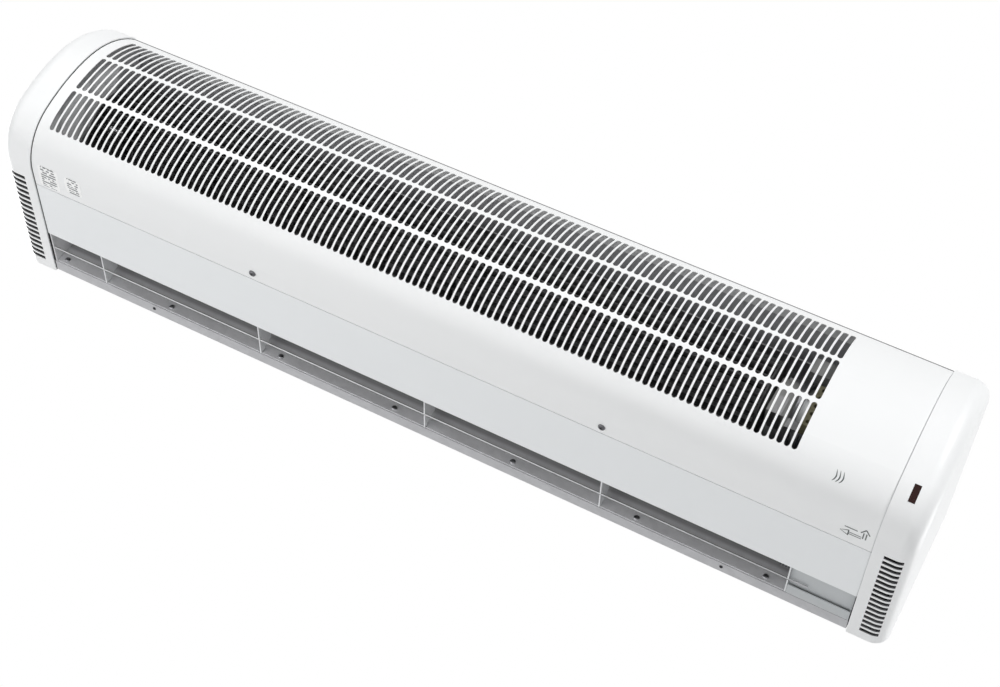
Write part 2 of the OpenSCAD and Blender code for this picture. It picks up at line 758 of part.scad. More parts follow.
// Run capacitor, a block in front of the motor, seen along the unit from its lower front corner
capacitor_at = [motor_l + 4, -fan_y - 68, 68];
capacitor_size = [20, 22, 46];
module capacitor() placed() color([0.93, 0.92, 0.88]) {
    translate(capacitor_at) cube(capacitor_size);
    for (y = [6, 14]) translate(capacitor_at + [5, y, capacitor_size[2]]) cube([6, 0.8, 8]);
}

strap_w = 12;
strap_t = 1;
strap_in = 0.1;
module capacitor_strap() placed() color("silver") {
    translate(capacitor_at + [4, 0, 0]) difference() {
        translate([0, -strap_t - strap_in, -strap_t - strap_in])
            cube([strap_w, capacitor_size[1] + 2 * (strap_t + strap_in), capacitor_size[2] / 2 + strap_t]);
        translate([-1, -strap_in, -strap_in])
            cube([strap_w + 2, capacitor_size[1] + 2 * strap_in, capacitor_size[2]]);
    }
    // Tongue to the bracket
    translate(capacitor_at + [4, capacitor_size[1] + strap_in, 6])
        cube([bracket_x - capacitor_at[0] - 4, strap_t, strap_w]);
}

// Plug of the motor's leads, clipped to the bracket
plug_size = [30, 12, 20];
plug_at = [bracket_x - plug_size[0], -fan_y - bracket_front + 1, fan_z + 20];
module motor_plug() placed() color([0.9, 0.9, 0.88]) difference() {
    union() {
        translate(plug_at) cube(plug_size);
        translate(plug_at + [8, 3, plug_size[2]]) cube([12, 6, 2]);
    }
    for (y = [3, 8], z = [5, 10, 15])
        bar(1.2, plug_at[0] - 1, plug_at[0] + 8, [plug_at[1] + y, plug_at[2] + z]);
}

// Terminal strip on the bracket
way_pitch = 11;
way_d = 13;
strip_at = [bracket_x - way_d, -fan_y - bracket_front, fan_z - bracket_h / 2 + 1];
module terminal_block() placed() color([0.9, 0.86, 0.72])
    for (i = [0:4]) translate(strip_at + [0, 0, i * way_pitch]) difference() {
        cube([way_d, 16, way_pitch - 0.4]);
        translate([way_d / 2, -1, way_pitch / 2]) rotate([-90, 0, 0]) cylinder(r = 2.4, h = 8);
        translate([-1, 11, way_pitch / 2]) rotate([0, 90, 0]) cylinder(r = 2, h = 6);
    }

// HEATER
module fin_profile() polygon(concat(
    [[0, 0], [rod_r, 0]],
    [for (i = [0:fin_count - 1], k = [0:3]) let(x = fin_x0 - plate_l + 6 + i * fin_pitch)
        [(k == 1 || k == 2) ? fin_r : rod_r, x + (k < 2 ? -fin_t / 2 : fin_t / 2)]],
    [[rod_r, wall_x - plate_l + 16], [0, wall_x - plate_l + 16]]
));

module heater_rod(c) placed() color([0.35, 0.34, 0.34])
    translate([plate_l - 6, c[0], c[1]]) rotate([0, 90, 0]) rotate_extrude($fn = 32) fin_profile();

module heater_front() heater_rod(rods[1]);
module heater_rear() heater_rod(rods[0]);
module heater_upper() heater_rod(rods[2]);

module heater_bushes() placed() color([0.95, 0.94, 0.9])
    for (x = [plate_l + sheet_t / 2, wall_x], c = rods) difference() {
        union() {
            bar(heater_hole_r - 0.15, x - 5, x + 5, c);
            bar(heater_hole_r + 1.8, x + sheet_t / 2 + 0.1, x + 4, c);
        }
        bar(rod_r + 0.2, x - 6, x + 6, c);
    }

holder_front = heater_y + 31;
module heater_holders() placed() color(galvanised)
    for (x = holder_x) along_x(x - sheet_t / 2, x + sheet_t / 2) difference() {
        polygon([
            [-duct_wall_y - seat_gap, heater_z - 20], [-duct_wall_y - seat_gap, heater_z + heater_step + 12],
            [-heater_y - 17, heater_z + heater_step + 12], [-holder_front, heater_z + 8],
            [-holder_front, heater_z - 14], [-holder_front + 10, heater_z - 20]
        ]);
        for (c = rods) translate(c) circle(rod_r + 0.3);
    }

cutout_c = [-holder_front, heater_z + 46];
module thermal_cutout() placed() color([0.16, 0.16, 0.17]) {
    bar(8.5, wall_face - 9, wall_face, cutout_c);
    bar(11, wall_face - 2, wall_face, cutout_c);
    for (s = [-1, 1]) translate([wall_face - 17, cutout_c[0] + s * 4, cutout_c[1]])
        cube([17, 0.8, 6], center = true);
}

// CONTROLS
board_x = wall_x + 18;
board_t = 1.6;
board_w = 90;
board_h = 110;
board_at = [board_x, -fan_y - 55, fan_z - 60];
relay_size = [15.4, 18, 28];
relay_pitch = 22;
transformer_size = [24.4, 36, 34];
can_r = 8;
can_h = 18.4;
can_at = [0, 65, 60];
module control_board() placed() color([0.1, 0.4, 0.22]) translate(board_at) cube([board_t, board_w, board_h]);

module control_relays() placed() color([0.12, 0.12, 0.14]) translate(board_at + [board_t, 0, 0]) {
    for (i = [0:2]) translate([0, 6 + i * relay_pitch, 6]) cube(relay_size);
    translate([0, 4, 44]) cube(transformer_size);
    translate(can_at) rotate([0, 90, 0]) cylinder(r = can_r, h = can_h);
}

module board_posts() placed() color([0.9, 0.9, 0.88])
    for (y = [6, board_w - 6], z = [board_h / 3, board_h - 6])
        bar(3.5, wall_x + sheet_t / 2, board_x, [board_at[1] + y, board_at[2] + z]);

main_size = [18, 11.4, 24];
main_pitch = 12;
mains_at = [plate_r - sheet_t - main_size[0], gland_y - 28, height - 54];
module mains_terminals() placed() color([0.92, 0.9, 0.84])
    for (i = [0:3]) translate(mains_at + [0, i * main_pitch, 0]) difference() {
        cube(main_size);
        translate([main_size[0] / 2, main_size[1] / 2, main_size[2] / 2]) cylinder(r = 2.2, h = 14);
        translate([-1, main_size[1] / 2, 8]) rotate([0, 90, 0]) cylinder(r = 2, h = 12);
    }

gland_bore_r = 5.5;
module cable_gland() placed() color([0.2, 0.2, 0.21]) translate([gland_x, gland_y, height]) difference() {
    union() {
        cylinder(r = 13.5, h = 6, $fn = 6);
        translate([0, 0, -14]) cylinder(r = gland_hole_r - seat_gap, h = 14);
        translate([0, 0, 6]) cylinder(r = 11, h = 7);
    }
    translate([0, 0, -15]) cylinder(r = gland_bore_r, h = 40);
}

module gland_nut() placed() color([0.2, 0.2, 0.21]) translate([gland_x, gland_y, lid_z - 5]) difference() {
    cylinder(r = 14, h = 5, $fn = 6);
    translate([0, 0, -1]) cylinder(r = gland_hole_r, h = 7);
}

front_cover();
cover_screws();
rear_casing();
bottom_panel();
strip_screws();
end_cap_left();
end_cap_right();
cap_screws();
receiver_window();
receiver_board();
side_plate_left();
side_plate_right();
partition_plate();
compartment_tray();
scroll_wall();
stabiliser();
duct_screws();
outlet_ribs();
guard_rod();
impeller();
stub_shaft();
left_bearing();
bearing_bush();
drive_hub();
motor_shaft();
motor_stator();
motor_shells();
motor_dampers();
motor_bracket();
motor_plug();
capacitor();
capacitor_strap();
terminal_block();
heater_front();
heater_rear();
heater_upper();
heater_bushes();
heater_holders();
thermal_cutout();
control_board();
control_relays();
board_posts();
mains_terminals();
cable_gland();
gland_nut();
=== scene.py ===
# %% [markdown]
# # A wall-mounted air curtain
# An air curtain is a long sheet-metal box that hangs above a doorway. A fan nearly as long as
# the box draws air in through rows of slots in the front, and a heater warms it before it is
# blown straight down through a narrow outlet along the rear of the underside. The solids come
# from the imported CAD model, so this file is about finishes, small parts, light and the camera.
# Lengths are in metres, and the axes are those of the CAD model.

# %% Load the frame
import json
import math

import bmesh
import bpy
from mathutils import Matrix, Vector

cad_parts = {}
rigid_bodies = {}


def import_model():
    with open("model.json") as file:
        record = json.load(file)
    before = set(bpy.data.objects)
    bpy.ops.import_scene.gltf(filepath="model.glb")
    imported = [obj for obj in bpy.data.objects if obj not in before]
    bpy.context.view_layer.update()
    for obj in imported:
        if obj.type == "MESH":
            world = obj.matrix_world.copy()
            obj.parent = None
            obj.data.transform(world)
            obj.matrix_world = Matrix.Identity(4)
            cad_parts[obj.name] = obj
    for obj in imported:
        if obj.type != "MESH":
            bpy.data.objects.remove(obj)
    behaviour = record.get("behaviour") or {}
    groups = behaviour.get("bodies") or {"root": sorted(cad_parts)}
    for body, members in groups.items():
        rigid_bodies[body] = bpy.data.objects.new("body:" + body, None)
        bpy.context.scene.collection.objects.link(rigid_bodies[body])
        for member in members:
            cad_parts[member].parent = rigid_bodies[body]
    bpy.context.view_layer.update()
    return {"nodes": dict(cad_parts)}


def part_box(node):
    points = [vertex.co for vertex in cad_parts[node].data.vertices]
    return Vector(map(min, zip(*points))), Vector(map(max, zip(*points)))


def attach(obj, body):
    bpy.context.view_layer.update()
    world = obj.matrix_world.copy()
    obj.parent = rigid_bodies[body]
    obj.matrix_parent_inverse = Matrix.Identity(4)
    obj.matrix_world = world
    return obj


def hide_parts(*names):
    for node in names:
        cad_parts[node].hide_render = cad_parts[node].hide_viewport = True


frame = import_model()
nodes = frame["nodes"]

# %% [markdown]
# ## The camera
# The photograph looks up at the unit from below and in front, and rolls so that the unit runs
# down to the right. A camera could be aimed with a target and then rolled by hand, but its place
# and its three directions are known here from fitting the slots, seams and ribs, so they go
# straight into its matrix. The columns of a camera's matrix are its right, its up and the
# direction behind it.

# %% Put the camera where the photograph was taken
UNIT_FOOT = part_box("bottom_panel")[0][2]


def aim_camera(place, right, up, lens):
    """A camera with its own right and up directions, without depth of field."""
    data = bpy.data.cameras.new("photo_camera")
    data.lens = lens
    data.sensor_width = 36.0
    data.clip_start, data.clip_end = 0.05, 30.0
    camera = bpy.data.objects.new("photo_camera", data)
    bpy.context.scene.collection.objects.link(camera)
    across = Vector(right).normalized()
    upward = Vector(up)
    upward = (upward - across * upward.dot(across)).normalized()
    in_gap_shade = across.cross(upward)
    turn = Matrix((across, upward, in_gap_shade)).transposed().to_4x4()
    camera.matrix_world = Matrix.Translation(Vector(place)) @ turn
    bpy.context.scene.camera = camera
    return camera


camera = aim_camera(
    place=(0.615, -1.622, UNIT_FOOT - 1.027),
    right=(0.8786, -0.0217, 0.4770),
    up=(-0.3809, -0.6344, 0.6727),
    lens=64.95,
)
print("camera at", [round(v, 3) for v in camera.location])

# %% [markdown]
# ## Shader maths that reads like maths
# Materials are node trees, and wiring each Math node by hand hides the idea. Here a small class
# holds one output socket and gives it Python's operators, so `1 - mask * 0.3` builds the nodes by
# itself. Colours don't go through Math nodes, which would turn them grey, but through Mix nodes.

# %% Wrap a socket so that expressions build nodes


class Wire:
    """An output socket that can be added, multiplied and compared."""

    def __init__(self, finish, socket):
        self.finish = finish
        self.socket = socket

    def _math(self, operation, first, second=0.0):
        return self.finish.node("ShaderNodeMath", {"operation": operation}, {0: first, 1: second})

    def __add__(self, other):
        return self._math("ADD", self, other)

    def __sub__(self, other):
        return self._math("SUBTRACT", self, other)

    def __rsub__(self, other):
        return self._math("SUBTRACT", other, self)

    def __mul__(self, other):
        return self._math("MULTIPLY", self, other)

    def __truediv__(self, other):
        return self._math("DIVIDE", self, other)

    def __gt__(self, other):
        return self._math("GREATER_THAN", self, other)

    def __lt__(self, other):
        return self._math("LESS_THAN", self, other)

    def power(self, exponent):
        return self._math("POWER", self, exponent)

    def absolute(self):
        return self._math("ABSOLUTE", self)

    def sine(self):
        return self._math("SINE", self)

    def at_least(self, other):
        return self._math("MAXIMUM", self, other)

    __radd__ = __add__
    __rmul__ = __mul__


print("a wire knows +, -, *, /, > and <")

# %% Wrap a material, with one method for every other node


class Finish:
    """A material under construction, around one Principled shader."""

    def __init__(self, name, **constants):
        self.material = bpy.data.materials.new(name)
        self.material.use_nodes = True
        self.tree = self.material.node_tree
        self.shader = self.tree.nodes["Principled BSDF"]
        for socket, value in constants.items():
            self.shader.inputs[socket.replace("_", " ")].default_value = value

    def node(self, kind, settings=None, values=None, output=0):
        """Adds one node: its settings first, then the values or wires of its sockets."""
        made = self.tree.nodes.new(kind)
        for key, value in (settings or {}).items():
            setattr(made, key, value)
        for key, value in (values or {}).items():
            if isinstance(value, Wire):
                self.tree.links.new(value.socket, made.inputs[key])
            else:
                made.inputs[key].default_value = value
        return Wire(self, made.outputs[output])

    def place(self):
        """The point on the object, in metres, in the shared frame."""
        return self.node("ShaderNodeTexCoord", output="Object")

    def stretched(self, scale):
        """The point with each axis multiplied, for grain that runs one way."""
        return self.node("ShaderNodeMapping", {}, {"Vector": self.place(), "Scale": scale})

    def parts(self, vector):
        """The X, Y and Z of a vector as three wires."""
        split = self.node("ShaderNodeSeparateXYZ", {}, {0: vector})
        return [Wire(self, split.socket.node.outputs[axis]) for axis in range(3)]

    def noise(self, scale, detail=2.0, roughness=0.5, vector=None):
        """Soft random values around 0.5."""
        vector = vector or self.place()
        values = {"Vector": vector, "Scale": scale, "Detail": detail, "Roughness": roughness}
        return self.node("ShaderNodeTexNoise", {}, values)

    def cells(self, scale, feature="F1", output="Distance"):
        """A Voronoi pattern."""
        values = {"Vector": self.place(), "Scale": scale}
        return self.node("ShaderNodeTexVoronoi", {"feature": feature}, values, output)

    def blend(self, factor, first, second):
        """A colour between two colours."""
        wide = [v if isinstance(v, Wire) else (*v, 1.0) for v in (first, second)]
        values = {0: factor, 6: wide[0], 7: wide[1]}
        return self.node("ShaderNodeMix", {"data_type": "RGBA"}, values, output=2)

    def between(self, factor, low, high):
        """A number between two numbers, limited to them."""
        values = {0: factor, 3: low, 4: high}
        return self.node("ShaderNodeMapRange", {"clamp": True}, values)

    def feed(self, socket, wire):
        """Connects a wire to the shader."""
        self.tree.links.new(wire.socket, self.shader.inputs[socket])

    def bump(self, height, distance, strength=1.0):
        """Turns a height into surface relief of a real depth in metres."""
        values = {"Height": height, "Distance": distance, "Strength": strength}
        self.feed("Normal", self.node("ShaderNodeBump", {}, values))


print("shader helpers ready")

# %% [markdown]
# ## Painted sheet metal
# The cover and the bottom panel are powder coated. Powder melts into a film that is almost even,
# but keeps a fine, shallow ripple, which breaks up reflections, and it is a touch thinner and
# greyer here and there. The ripple is a bump of a few hundredths of a millimetre. A broad noise
# moves the colour by two or three percent, and a finer one moves the roughness. The bottom panel
# has a flange that lies behind the cover. It shows in the narrow gap between the two, and it gets
# a dark tone as painted shade, so that the gap reads as a grey line.

# %% Powder coat
GAP_SHADE_ABOVE = 0.0006


def coat_finish(name, tone, shade, roughness=0.34):
    """White paint on sheet metal, and its tone, for what is laid over it."""
    paint = Finish(name, Specular_IOR_Level=0.4)
    tint = paint.blend(paint.noise(9.0, 3.0), tone, shade)
    paint.feed("Base Color", tint)
    rough = paint.noise(55.0, 3.0)
    paint.feed("Roughness", paint.between(rough, roughness - 0.05, roughness + 0.07))
    ripple = paint.noise(420.0, 2.0) + paint.noise(1500.0, 1.0) * 0.35
    paint.bump(ripple, 0.00006, 0.35)
    return paint, tint


def panel_paint(name, tone, shade, gap_shade):
    """The same paint, with a dark tone of painted shade on the flange under the cover."""
    paint, tint = coat_finish(name, tone, shade, 0.38)
    # Painted shade: the flange that shows in the gap takes a dark tone.
    in_gap_shade = paint.parts(paint.place())[2] > UNIT_FOOT + GAP_SHADE_ABOVE
    paint.feed("Base Color", paint.blend(in_gap_shade, tint, gap_shade))
    return paint.material


cover_coat = coat_finish("cover_coat", (0.895, 0.900, 0.900), (0.872, 0.880, 0.882))[0].material
panel_coat = panel_paint(
    "panel_coat", (0.868, 0.884, 0.892), (0.846, 0.864, 0.874), gap_shade=(0.16, 0.165, 0.17)
)
print("paint:", cover_coat.name, panel_coat.name)

# %% [markdown]
# ## Moulded plastic
# The end caps are injection moulded. The steel mould is finely textured so that finger marks
# don't show, which leaves a dense pebble, less than a millimetre across. The same recipe in other
# tones makes the ribs, the tray, the rotor, the relays and the gland.

# %% Moulded plastic


def moulded_finish(name, tone, shade, roughness=0.42, grain=1400.0, depth=0.00004):
    """The pebble, tone and roughness of a textured mould, before anything is laid over it."""
    plastic = Finish(name, Specular_IOR_Level=0.4)
    tint = plastic.blend(plastic.noise(14.0, 3.0), tone, shade)
    plastic.feed("Base Color", tint)
    rough = plastic.noise(90.0, 2.0)
    plastic.feed("Roughness", plastic.between(rough, roughness - 0.06, roughness + 0.06))
    plastic.bump(plastic.cells(grain, "SMOOTH_F1"), depth, 0.5)
    return plastic, tint


def moulded(name, *tones, **options):
    """Plastic with the fine pebble of a textured mould."""
    return moulded_finish(name, *tones, **options)[0].material


duct_plastic = moulded("duct_plastic", (0.80, 0.81, 0.82), (0.75, 0.76, 0.77), roughness=0.45)
tray_plastic = moulded("tray_plastic", (0.54, 0.56, 0.57), (0.50, 0.52, 0.53), roughness=0.5)
rotor_plastic = moulded(
    "rotor_plastic", (0.036, 0.036, 0.038), (0.070, 0.069, 0.069), roughness=0.32
)
relay_plastic = moulded(
    "relay_plastic", (0.022, 0.023, 0.026), (0.035, 0.036, 0.040), roughness=0.38
)
gland_nylon = moulded("gland_nylon", (0.050, 0.051, 0.055), (0.075, 0.076, 0.080), roughness=0.5)
cutout_plastic = moulded("cutout_plastic", (0.030, 0.030, 0.034), (0.05, 0.05, 0.05), roughness=0.4)
plastics = (duct_plastic, tray_plastic, rotor_plastic, relay_plastic, gland_nylon, cutout_plastic)
print("plastics:", [m.name for m in plastics])

# %% [markdown]
# ## The end caps' vents
# Each cap is a hollow shell, and its vents read as even dark bars. Light from below would reach
# the white plastic inside, so the inner faces and the vents' walls are given a dark grey, which is
# painted shade. The shell is one mesh, which a second material slot can't split without touching
# it, so the material itself tells inside from outside. Two tests do it. A face that looks towards
# the middle of the cap is an inner one, which takes the dot product of the surface's direction
# with the way out from the middle. The walls of the vents look sideways and slip through that
# test, but they lie deeper than three tenths of a millimetre inside the cap's flat foot and its
# round outer edge, so the distance to that edge's centre line finds them.

# %% Cap plastic that is dark inside
CAP_EDGE_RADIUS = 0.018
CAP_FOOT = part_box("end_cap_left")[0][2]
CAP_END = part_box("end_cap_right")[1][0]
CAP_INNER_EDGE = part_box("end_cap_right")[0][0]
CAP_MIDDLE = [(a + b) / 2 for a, b in zip(*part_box("end_cap_right"))]
WHITE_DEPTH = 0.0003
VENT_START = CAP_INNER_EDGE + 0.002
VENT_REACH = 0.160


def cap_shell(name, tone, shade, inner_shade_tone):
    """Moulded white outside, with painted shade as a dark tone on the inner faces and vents."""
    plastic, tint = moulded_finish(name, tone, shade)
    along, out, up = plastic.parts(plastic.place())
    span = along.absolute()
    beside = (span - (CAP_END - CAP_EDGE_RADIUS)).at_least(0.0)
    above = up - (CAP_FOOT + CAP_EDGE_RADIUS)
    deep = (beside * beside + above * above).power(0.5) < CAP_EDGE_RADIUS - WHITE_DEPTH
    low = (up < CAP_FOOT + CAP_EDGE_RADIUS) * (out > -VENT_REACH) * (span > VENT_START)
    face = plastic.parts(plastic.node("ShaderNodeNewGeometry", output="True Normal"))
    outward = face[0] * (along / span) * (span - CAP_MIDDLE[0])
    outward = outward + face[1] * (out - CAP_MIDDLE[1]) + face[2] * (up - CAP_MIDDLE[2])
    # Painted shade: the inner faces and the vents' walls take a dark grey tone.
    within = (outward < 0.0).at_least(deep * low)
    plastic.feed("Base Color", plastic.blend(within, tint, inner_shade_tone))
    return plastic.material


cap_plastic = cap_shell(
    "cap_plastic", (0.892, 0.898, 0.898), (0.870, 0.877, 0.880), inner_shade_tone=(0.20, 0.20, 0.205)
)
post_plastic = moulded("post_plastic", (0.86, 0.86, 0.85), (0.82, 0.82, 0.81))
print("cap ends at", round(CAP_END, 4), "and its foot is at", round(CAP_FOOT, 4))

# %% [markdown]
# ## Galvanised sheet
# The inner sheets are left galvanised. Zinc sets in flat crystals called spangle, each with its
# own brightness, under a dull film. A Voronoi texture gives each crystal a random colour, and one
# channel of it moves both the tone and the roughness, while fine rolling lines run along the
# sheet. Inside, the pieces round the fan get a dark tone, which is painted shade, and the outlet's
# rear wall is painted darker higher up, as painted shade too.

# %% Galvanised steel
SHADE_FROM = 0.022
SHADE_FULL = 0.026


def zinc_finish(name, tone, shade, metal=0.55, roughness=0.48):
    """Spangle, film and rolling lines, before anything is laid over the tone."""
    zinc = Finish(name, Metallic=metal)
    crystal = zinc.cells(160.0, "F1", "Color")
    flake = zinc.parts(crystal)[0]
    film = zinc.noise(22.0, 4.0)
    tint = zinc.blend(flake * 0.55 + film * 0.45, shade, tone)
    zinc.feed("Base Color", tint)
    rough = flake * 0.5 + film * 0.5
    zinc.feed("Roughness", zinc.between(rough, roughness - 0.12, roughness + 0.12))
    lines = zinc.noise(1.0, 2.0, vector=zinc.stretched((18.0, 1400.0, 1400.0)))
    zinc.bump(lines, 0.00003, 0.4)
    return zinc, tint


def galvanised(name, *tones, **options):
    """Zinc-coated sheet with spangle and rolling lines."""
    return zinc_finish(name, *tones, **options)[0].material


def duct_sheet(name, tone, shade, upper_shade):
    """Zinc with painted shade: darker from a height above the outlet upwards."""
    zinc, tint = zinc_finish(name, tone, shade, metal=0.3)
    up = zinc.parts(zinc.place())[2]
    span = {0: up, 1: UNIT_FOOT + SHADE_FROM, 2: UNIT_FOOT + SHADE_FULL}
    # Painted shade: the wall turns darker from this height upwards.
    darkening = zinc.node("ShaderNodeMapRange", {"clamp": True}, span)
    zinc.feed("Base Color", zinc.blend(darkening, tint, upper_shade))
    return zinc.material


duct_zinc = duct_sheet("duct_zinc", (0.86, 0.86, 0.88), (0.78, 0.78, 0.80), (0.52, 0.52, 0.53))
# Painted shade: the pieces round the fan get a dark tone.
shaded_inner_zinc = galvanised("shaded_inner_zinc", (0.16, 0.16, 0.165), (0.11, 0.11, 0.115))
plate_zinc = galvanised("plate_zinc", (0.86, 0.86, 0.87), (0.78, 0.78, 0.79), metal=0.1)
print("zinc:", duct_zinc.name, shaded_inner_zinc.name, plate_zinc.name)

# %% [markdown]
# ## The front edge of the casing
# The front edge of the casing's top sheet gets a dark grey, over four tenths of a millimetre, and
# against the white background it draws the fine grey line that the unit has along its top. The
# edge is where the casing reaches furthest from the wall.

# %% Casing sheet with its dark front edge
CASING_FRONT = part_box("rear_casing")[0][1]
EDGE_WIDTH = 0.0004


def casing_sheet(name, tone, shade, steel):
    """Galvanised sheet whose front edge is painted dark grey."""
    zinc, tint = zinc_finish(name, tone, shade, metal=0.25, roughness=0.6)
    # The front edge of the top sheet is painted a dark grey.
    cut = zinc.parts(zinc.place())[1] < CASING_FRONT + EDGE_WIDTH
    zinc.feed("Base Color", zinc.blend(cut, tint, steel))
    return zinc.material


casing_zinc = casing_sheet(
    "casing_zinc", (0.58, 0.58, 0.595), (0.50, 0.50, 0.515), steel=(0.17, 0.17, 0.175)
)
print("casing's cut edge at y =", round(CASING_FRONT, 4))

# %% [markdown]
# ## Small metals
# The duct's and the caps' screws are zinc plated and slightly uneven, and those of the underside
# are duller or black. Shafts are ground so that their scratches run round them, the bearing is
# sintered bronze with open pores, the motor's stator is a stack of thin sheets, and the heater
# has gone dark with heat in patches.

# %% Plated and ground steel


def plated(name, tone, roughness=0.28):
    """Plated steel or cast alloy with a little grime."""
    metal = Finish(name, Metallic=1.0)
    grime = metal.noise(260.0, 3.0)
    dark = tuple(v * 0.72 for v in tone)
    metal.feed("Base Color", metal.blend(grime, tone, dark))
    metal.feed("Roughness", metal.between(grime, roughness - 0.08, roughness + 0.14))
    metal.bump(metal.noise(3200.0, 1.0), 0.00002, 0.4)
    return metal.material


def ground(name, tone, roughness=0.24):
    """A ground shaft: fine lines round its axis, which lies along X."""
    metal = Finish(name, Metallic=1.0)
    lines = metal.noise(1.0, 2.0, vector=metal.stretched((9000.0, 60.0, 60.0)))
    metal.feed("Base Color", metal.blend(lines, tone, tuple(v * 0.8 for v in tone)))
    metal.feed("Roughness", metal.between(lines, roughness - 0.06, roughness + 0.1))
    metal.bump(lines, 0.00001, 0.5)
    return metal.material


screw_zinc = plated("screw_zinc", (0.55, 0.55, 0.57))
dull_steel = plated("dull_steel", (0.20, 0.20, 0.21), 0.3)
black_steel = plated("black_steel", (0.05, 0.05, 0.055), 0.4)
rod_steel = plated("rod_steel", (0.62, 0.62, 0.63), 0.3)
strap_zinc = plated("strap_zinc", (0.27, 0.27, 0.275), 0.4)
shell_alloy = plated("shell_alloy", (0.74, 0.75, 0.76), 0.42)
shaft_steel = ground("shaft_steel", (0.60, 0.60, 0.61))
metals = (screw_zinc, dull_steel, black_steel, rod_steel, strap_zinc, shell_alloy, shaft_steel)
print("plated and ground:", [m.name for m in metals])

# %% Bronze, heater and stator
LAMINATION = 0.0004


def sintered(name, tone):
    """Porous bronze."""
    metal = Finish(name, Metallic=1.0)
    pores = metal.cells(2600.0, "F1")
    metal.feed("Base Color", metal.blend(pores, tuple(v * 0.5 for v in tone), tone))
    metal.feed("Roughness", metal.between(metal.noise(300.0), 0.35, 0.6))
    metal.bump(pores, 0.00004, 0.6)
    return metal.material


def heat_dulled(name):
    """Steel fins that have turned brown-black in patches."""
    metal = Finish(name, Metallic=0.75)
    patches = metal.noise(34.0, 4.0, 0.6)
    cloud = metal.noise(210.0, 2.0)
    darkening = metal.blend(cloud, (0.085, 0.078, 0.075), (0.15, 0.135, 0.125))
    metal.feed("Base Color", metal.blend(patches, darkening, (0.05, 0.05, 0.055)))
    metal.feed("Roughness", metal.between(patches, 0.45, 0.7))
    metal.bump(cloud, 0.00004, 0.4)
    return metal.material


def laminated(name):
    """A stack of thin steel sheets, seen on edge, stacked along X."""
    metal = Finish(name, Metallic=0.9)
    along = metal.parts(metal.place())[0]
    sheet = (along * (math.pi / LAMINATION)).sine().absolute()
    stain = metal.noise(120.0, 3.0)
    wear = sheet * 0.5 + stain * 0.5
    metal.feed("Base Color", metal.blend(wear, (0.16, 0.16, 0.17), (0.34, 0.34, 0.36)))
    metal.feed("Roughness", metal.between(stain, 0.35, 0.6))
    metal.bump(sheet, 0.0001, 0.5)
    return metal.material


bearing_bronze = sintered("bearing_bronze", (0.55, 0.40, 0.22))
heater_steel = heat_dulled("heater_steel")
stator_steel = laminated("stator_steel")
print("inner metals:", bearing_bronze.name, heater_steel.name, stator_steel.name)

# %% [markdown]
# ## Rubber, ceramic, resin and the window
# Rubber is almost black with a pale bloom, ceramic bushes are chalky, terminal blocks are a dull
# yellowish resin, the circuit board shows copper tracks under its green mask, and the receiver
# window is a dark red plastic that lets infrared through.

# %% Rubber, ceramic and resin


def rubber(name):
    """Soft black rubber with a faint grey bloom."""
    soft = Finish(name, Specular_IOR_Level=0.3)
    bloom = soft.noise(70.0, 4.0)
    soft.feed("Base Color", soft.blend(bloom, (0.012, 0.012, 0.012), (0.05, 0.05, 0.052)))
    soft.feed("Roughness", soft.between(bloom, 0.6, 0.85))
    soft.bump(soft.noise(900.0, 3.0), 0.00006, 0.5)
    return soft.material


def chalky(name, tone):
    """Unglazed ceramic."""
    body = Finish(name, Specular_IOR_Level=0.25)
    speck = body.noise(800.0, 3.0)
    body.feed("Base Color", body.blend(speck, tone, tuple(v * 0.86 for v in tone)))
    body.feed("Roughness", body.between(speck, 0.65, 0.85))
    body.bump(speck, 0.00005, 0.6)
    return body.material


bush_rubber = rubber("bush_rubber")
bush_ceramic = chalky("bush_ceramic", (0.86, 0.85, 0.80))
terminal_resin = moulded("terminal_resin", (0.36, 0.33, 0.20), (0.22, 0.20, 0.12), roughness=0.35)
capacitor_shell = moulded(
    "capacitor_shell", (0.27, 0.27, 0.265), (0.17, 0.17, 0.167), roughness=0.4
)
print("others:", [m.name for m in (bush_rubber, bush_ceramic, terminal_resin, capacitor_shell)])

# %% Circuit board and window


def circuit_board(name):
    """Green mask with paler tracks where copper lies under it."""
    board = Finish(name, Specular_IOR_Level=0.5)
    track = board.cells(90.0, "DISTANCE_TO_EDGE") < 0.035
    mask = board.blend(track, (0.020, 0.115, 0.050), (0.045, 0.215, 0.090))
    board.feed("Base Color", board.blend(board.noise(40.0) * 0.3, mask, (0.012, 0.07, 0.03)))
    board.feed("Roughness", board.between(board.noise(150.0), 0.22, 0.36))
    board.bump(track, 0.00004, 0.5)
    return board.material


def dark_window(name):
    """Dark red plastic for infrared, smooth and slightly uneven."""
    pane = Finish(name, Specular_IOR_Level=0.25)
    depth = pane.noise(60.0, 2.0)
    pane.feed("Base Color", pane.blend(depth, (0.022, 0.007, 0.006), (0.036, 0.010, 0.008)))
    pane.feed("Roughness", pane.between(depth, 0.22, 0.34))
    pane.bump(pane.noise(350.0, 1.0), 0.00002, 0.3)
    return pane.material


board_green = circuit_board("board_green")
window_red = dark_window("window_red")
print("board and window:", board_green.name, window_red.name)

# %% [markdown]
# ## Dressing the CAD pieces
# Most CAD solids already have the right shape, so they stay and only get a finish. A dictionary
# from finish to node names keeps this readable. The printed count leaves out only the three rows
# of screws, which are replaced further down.

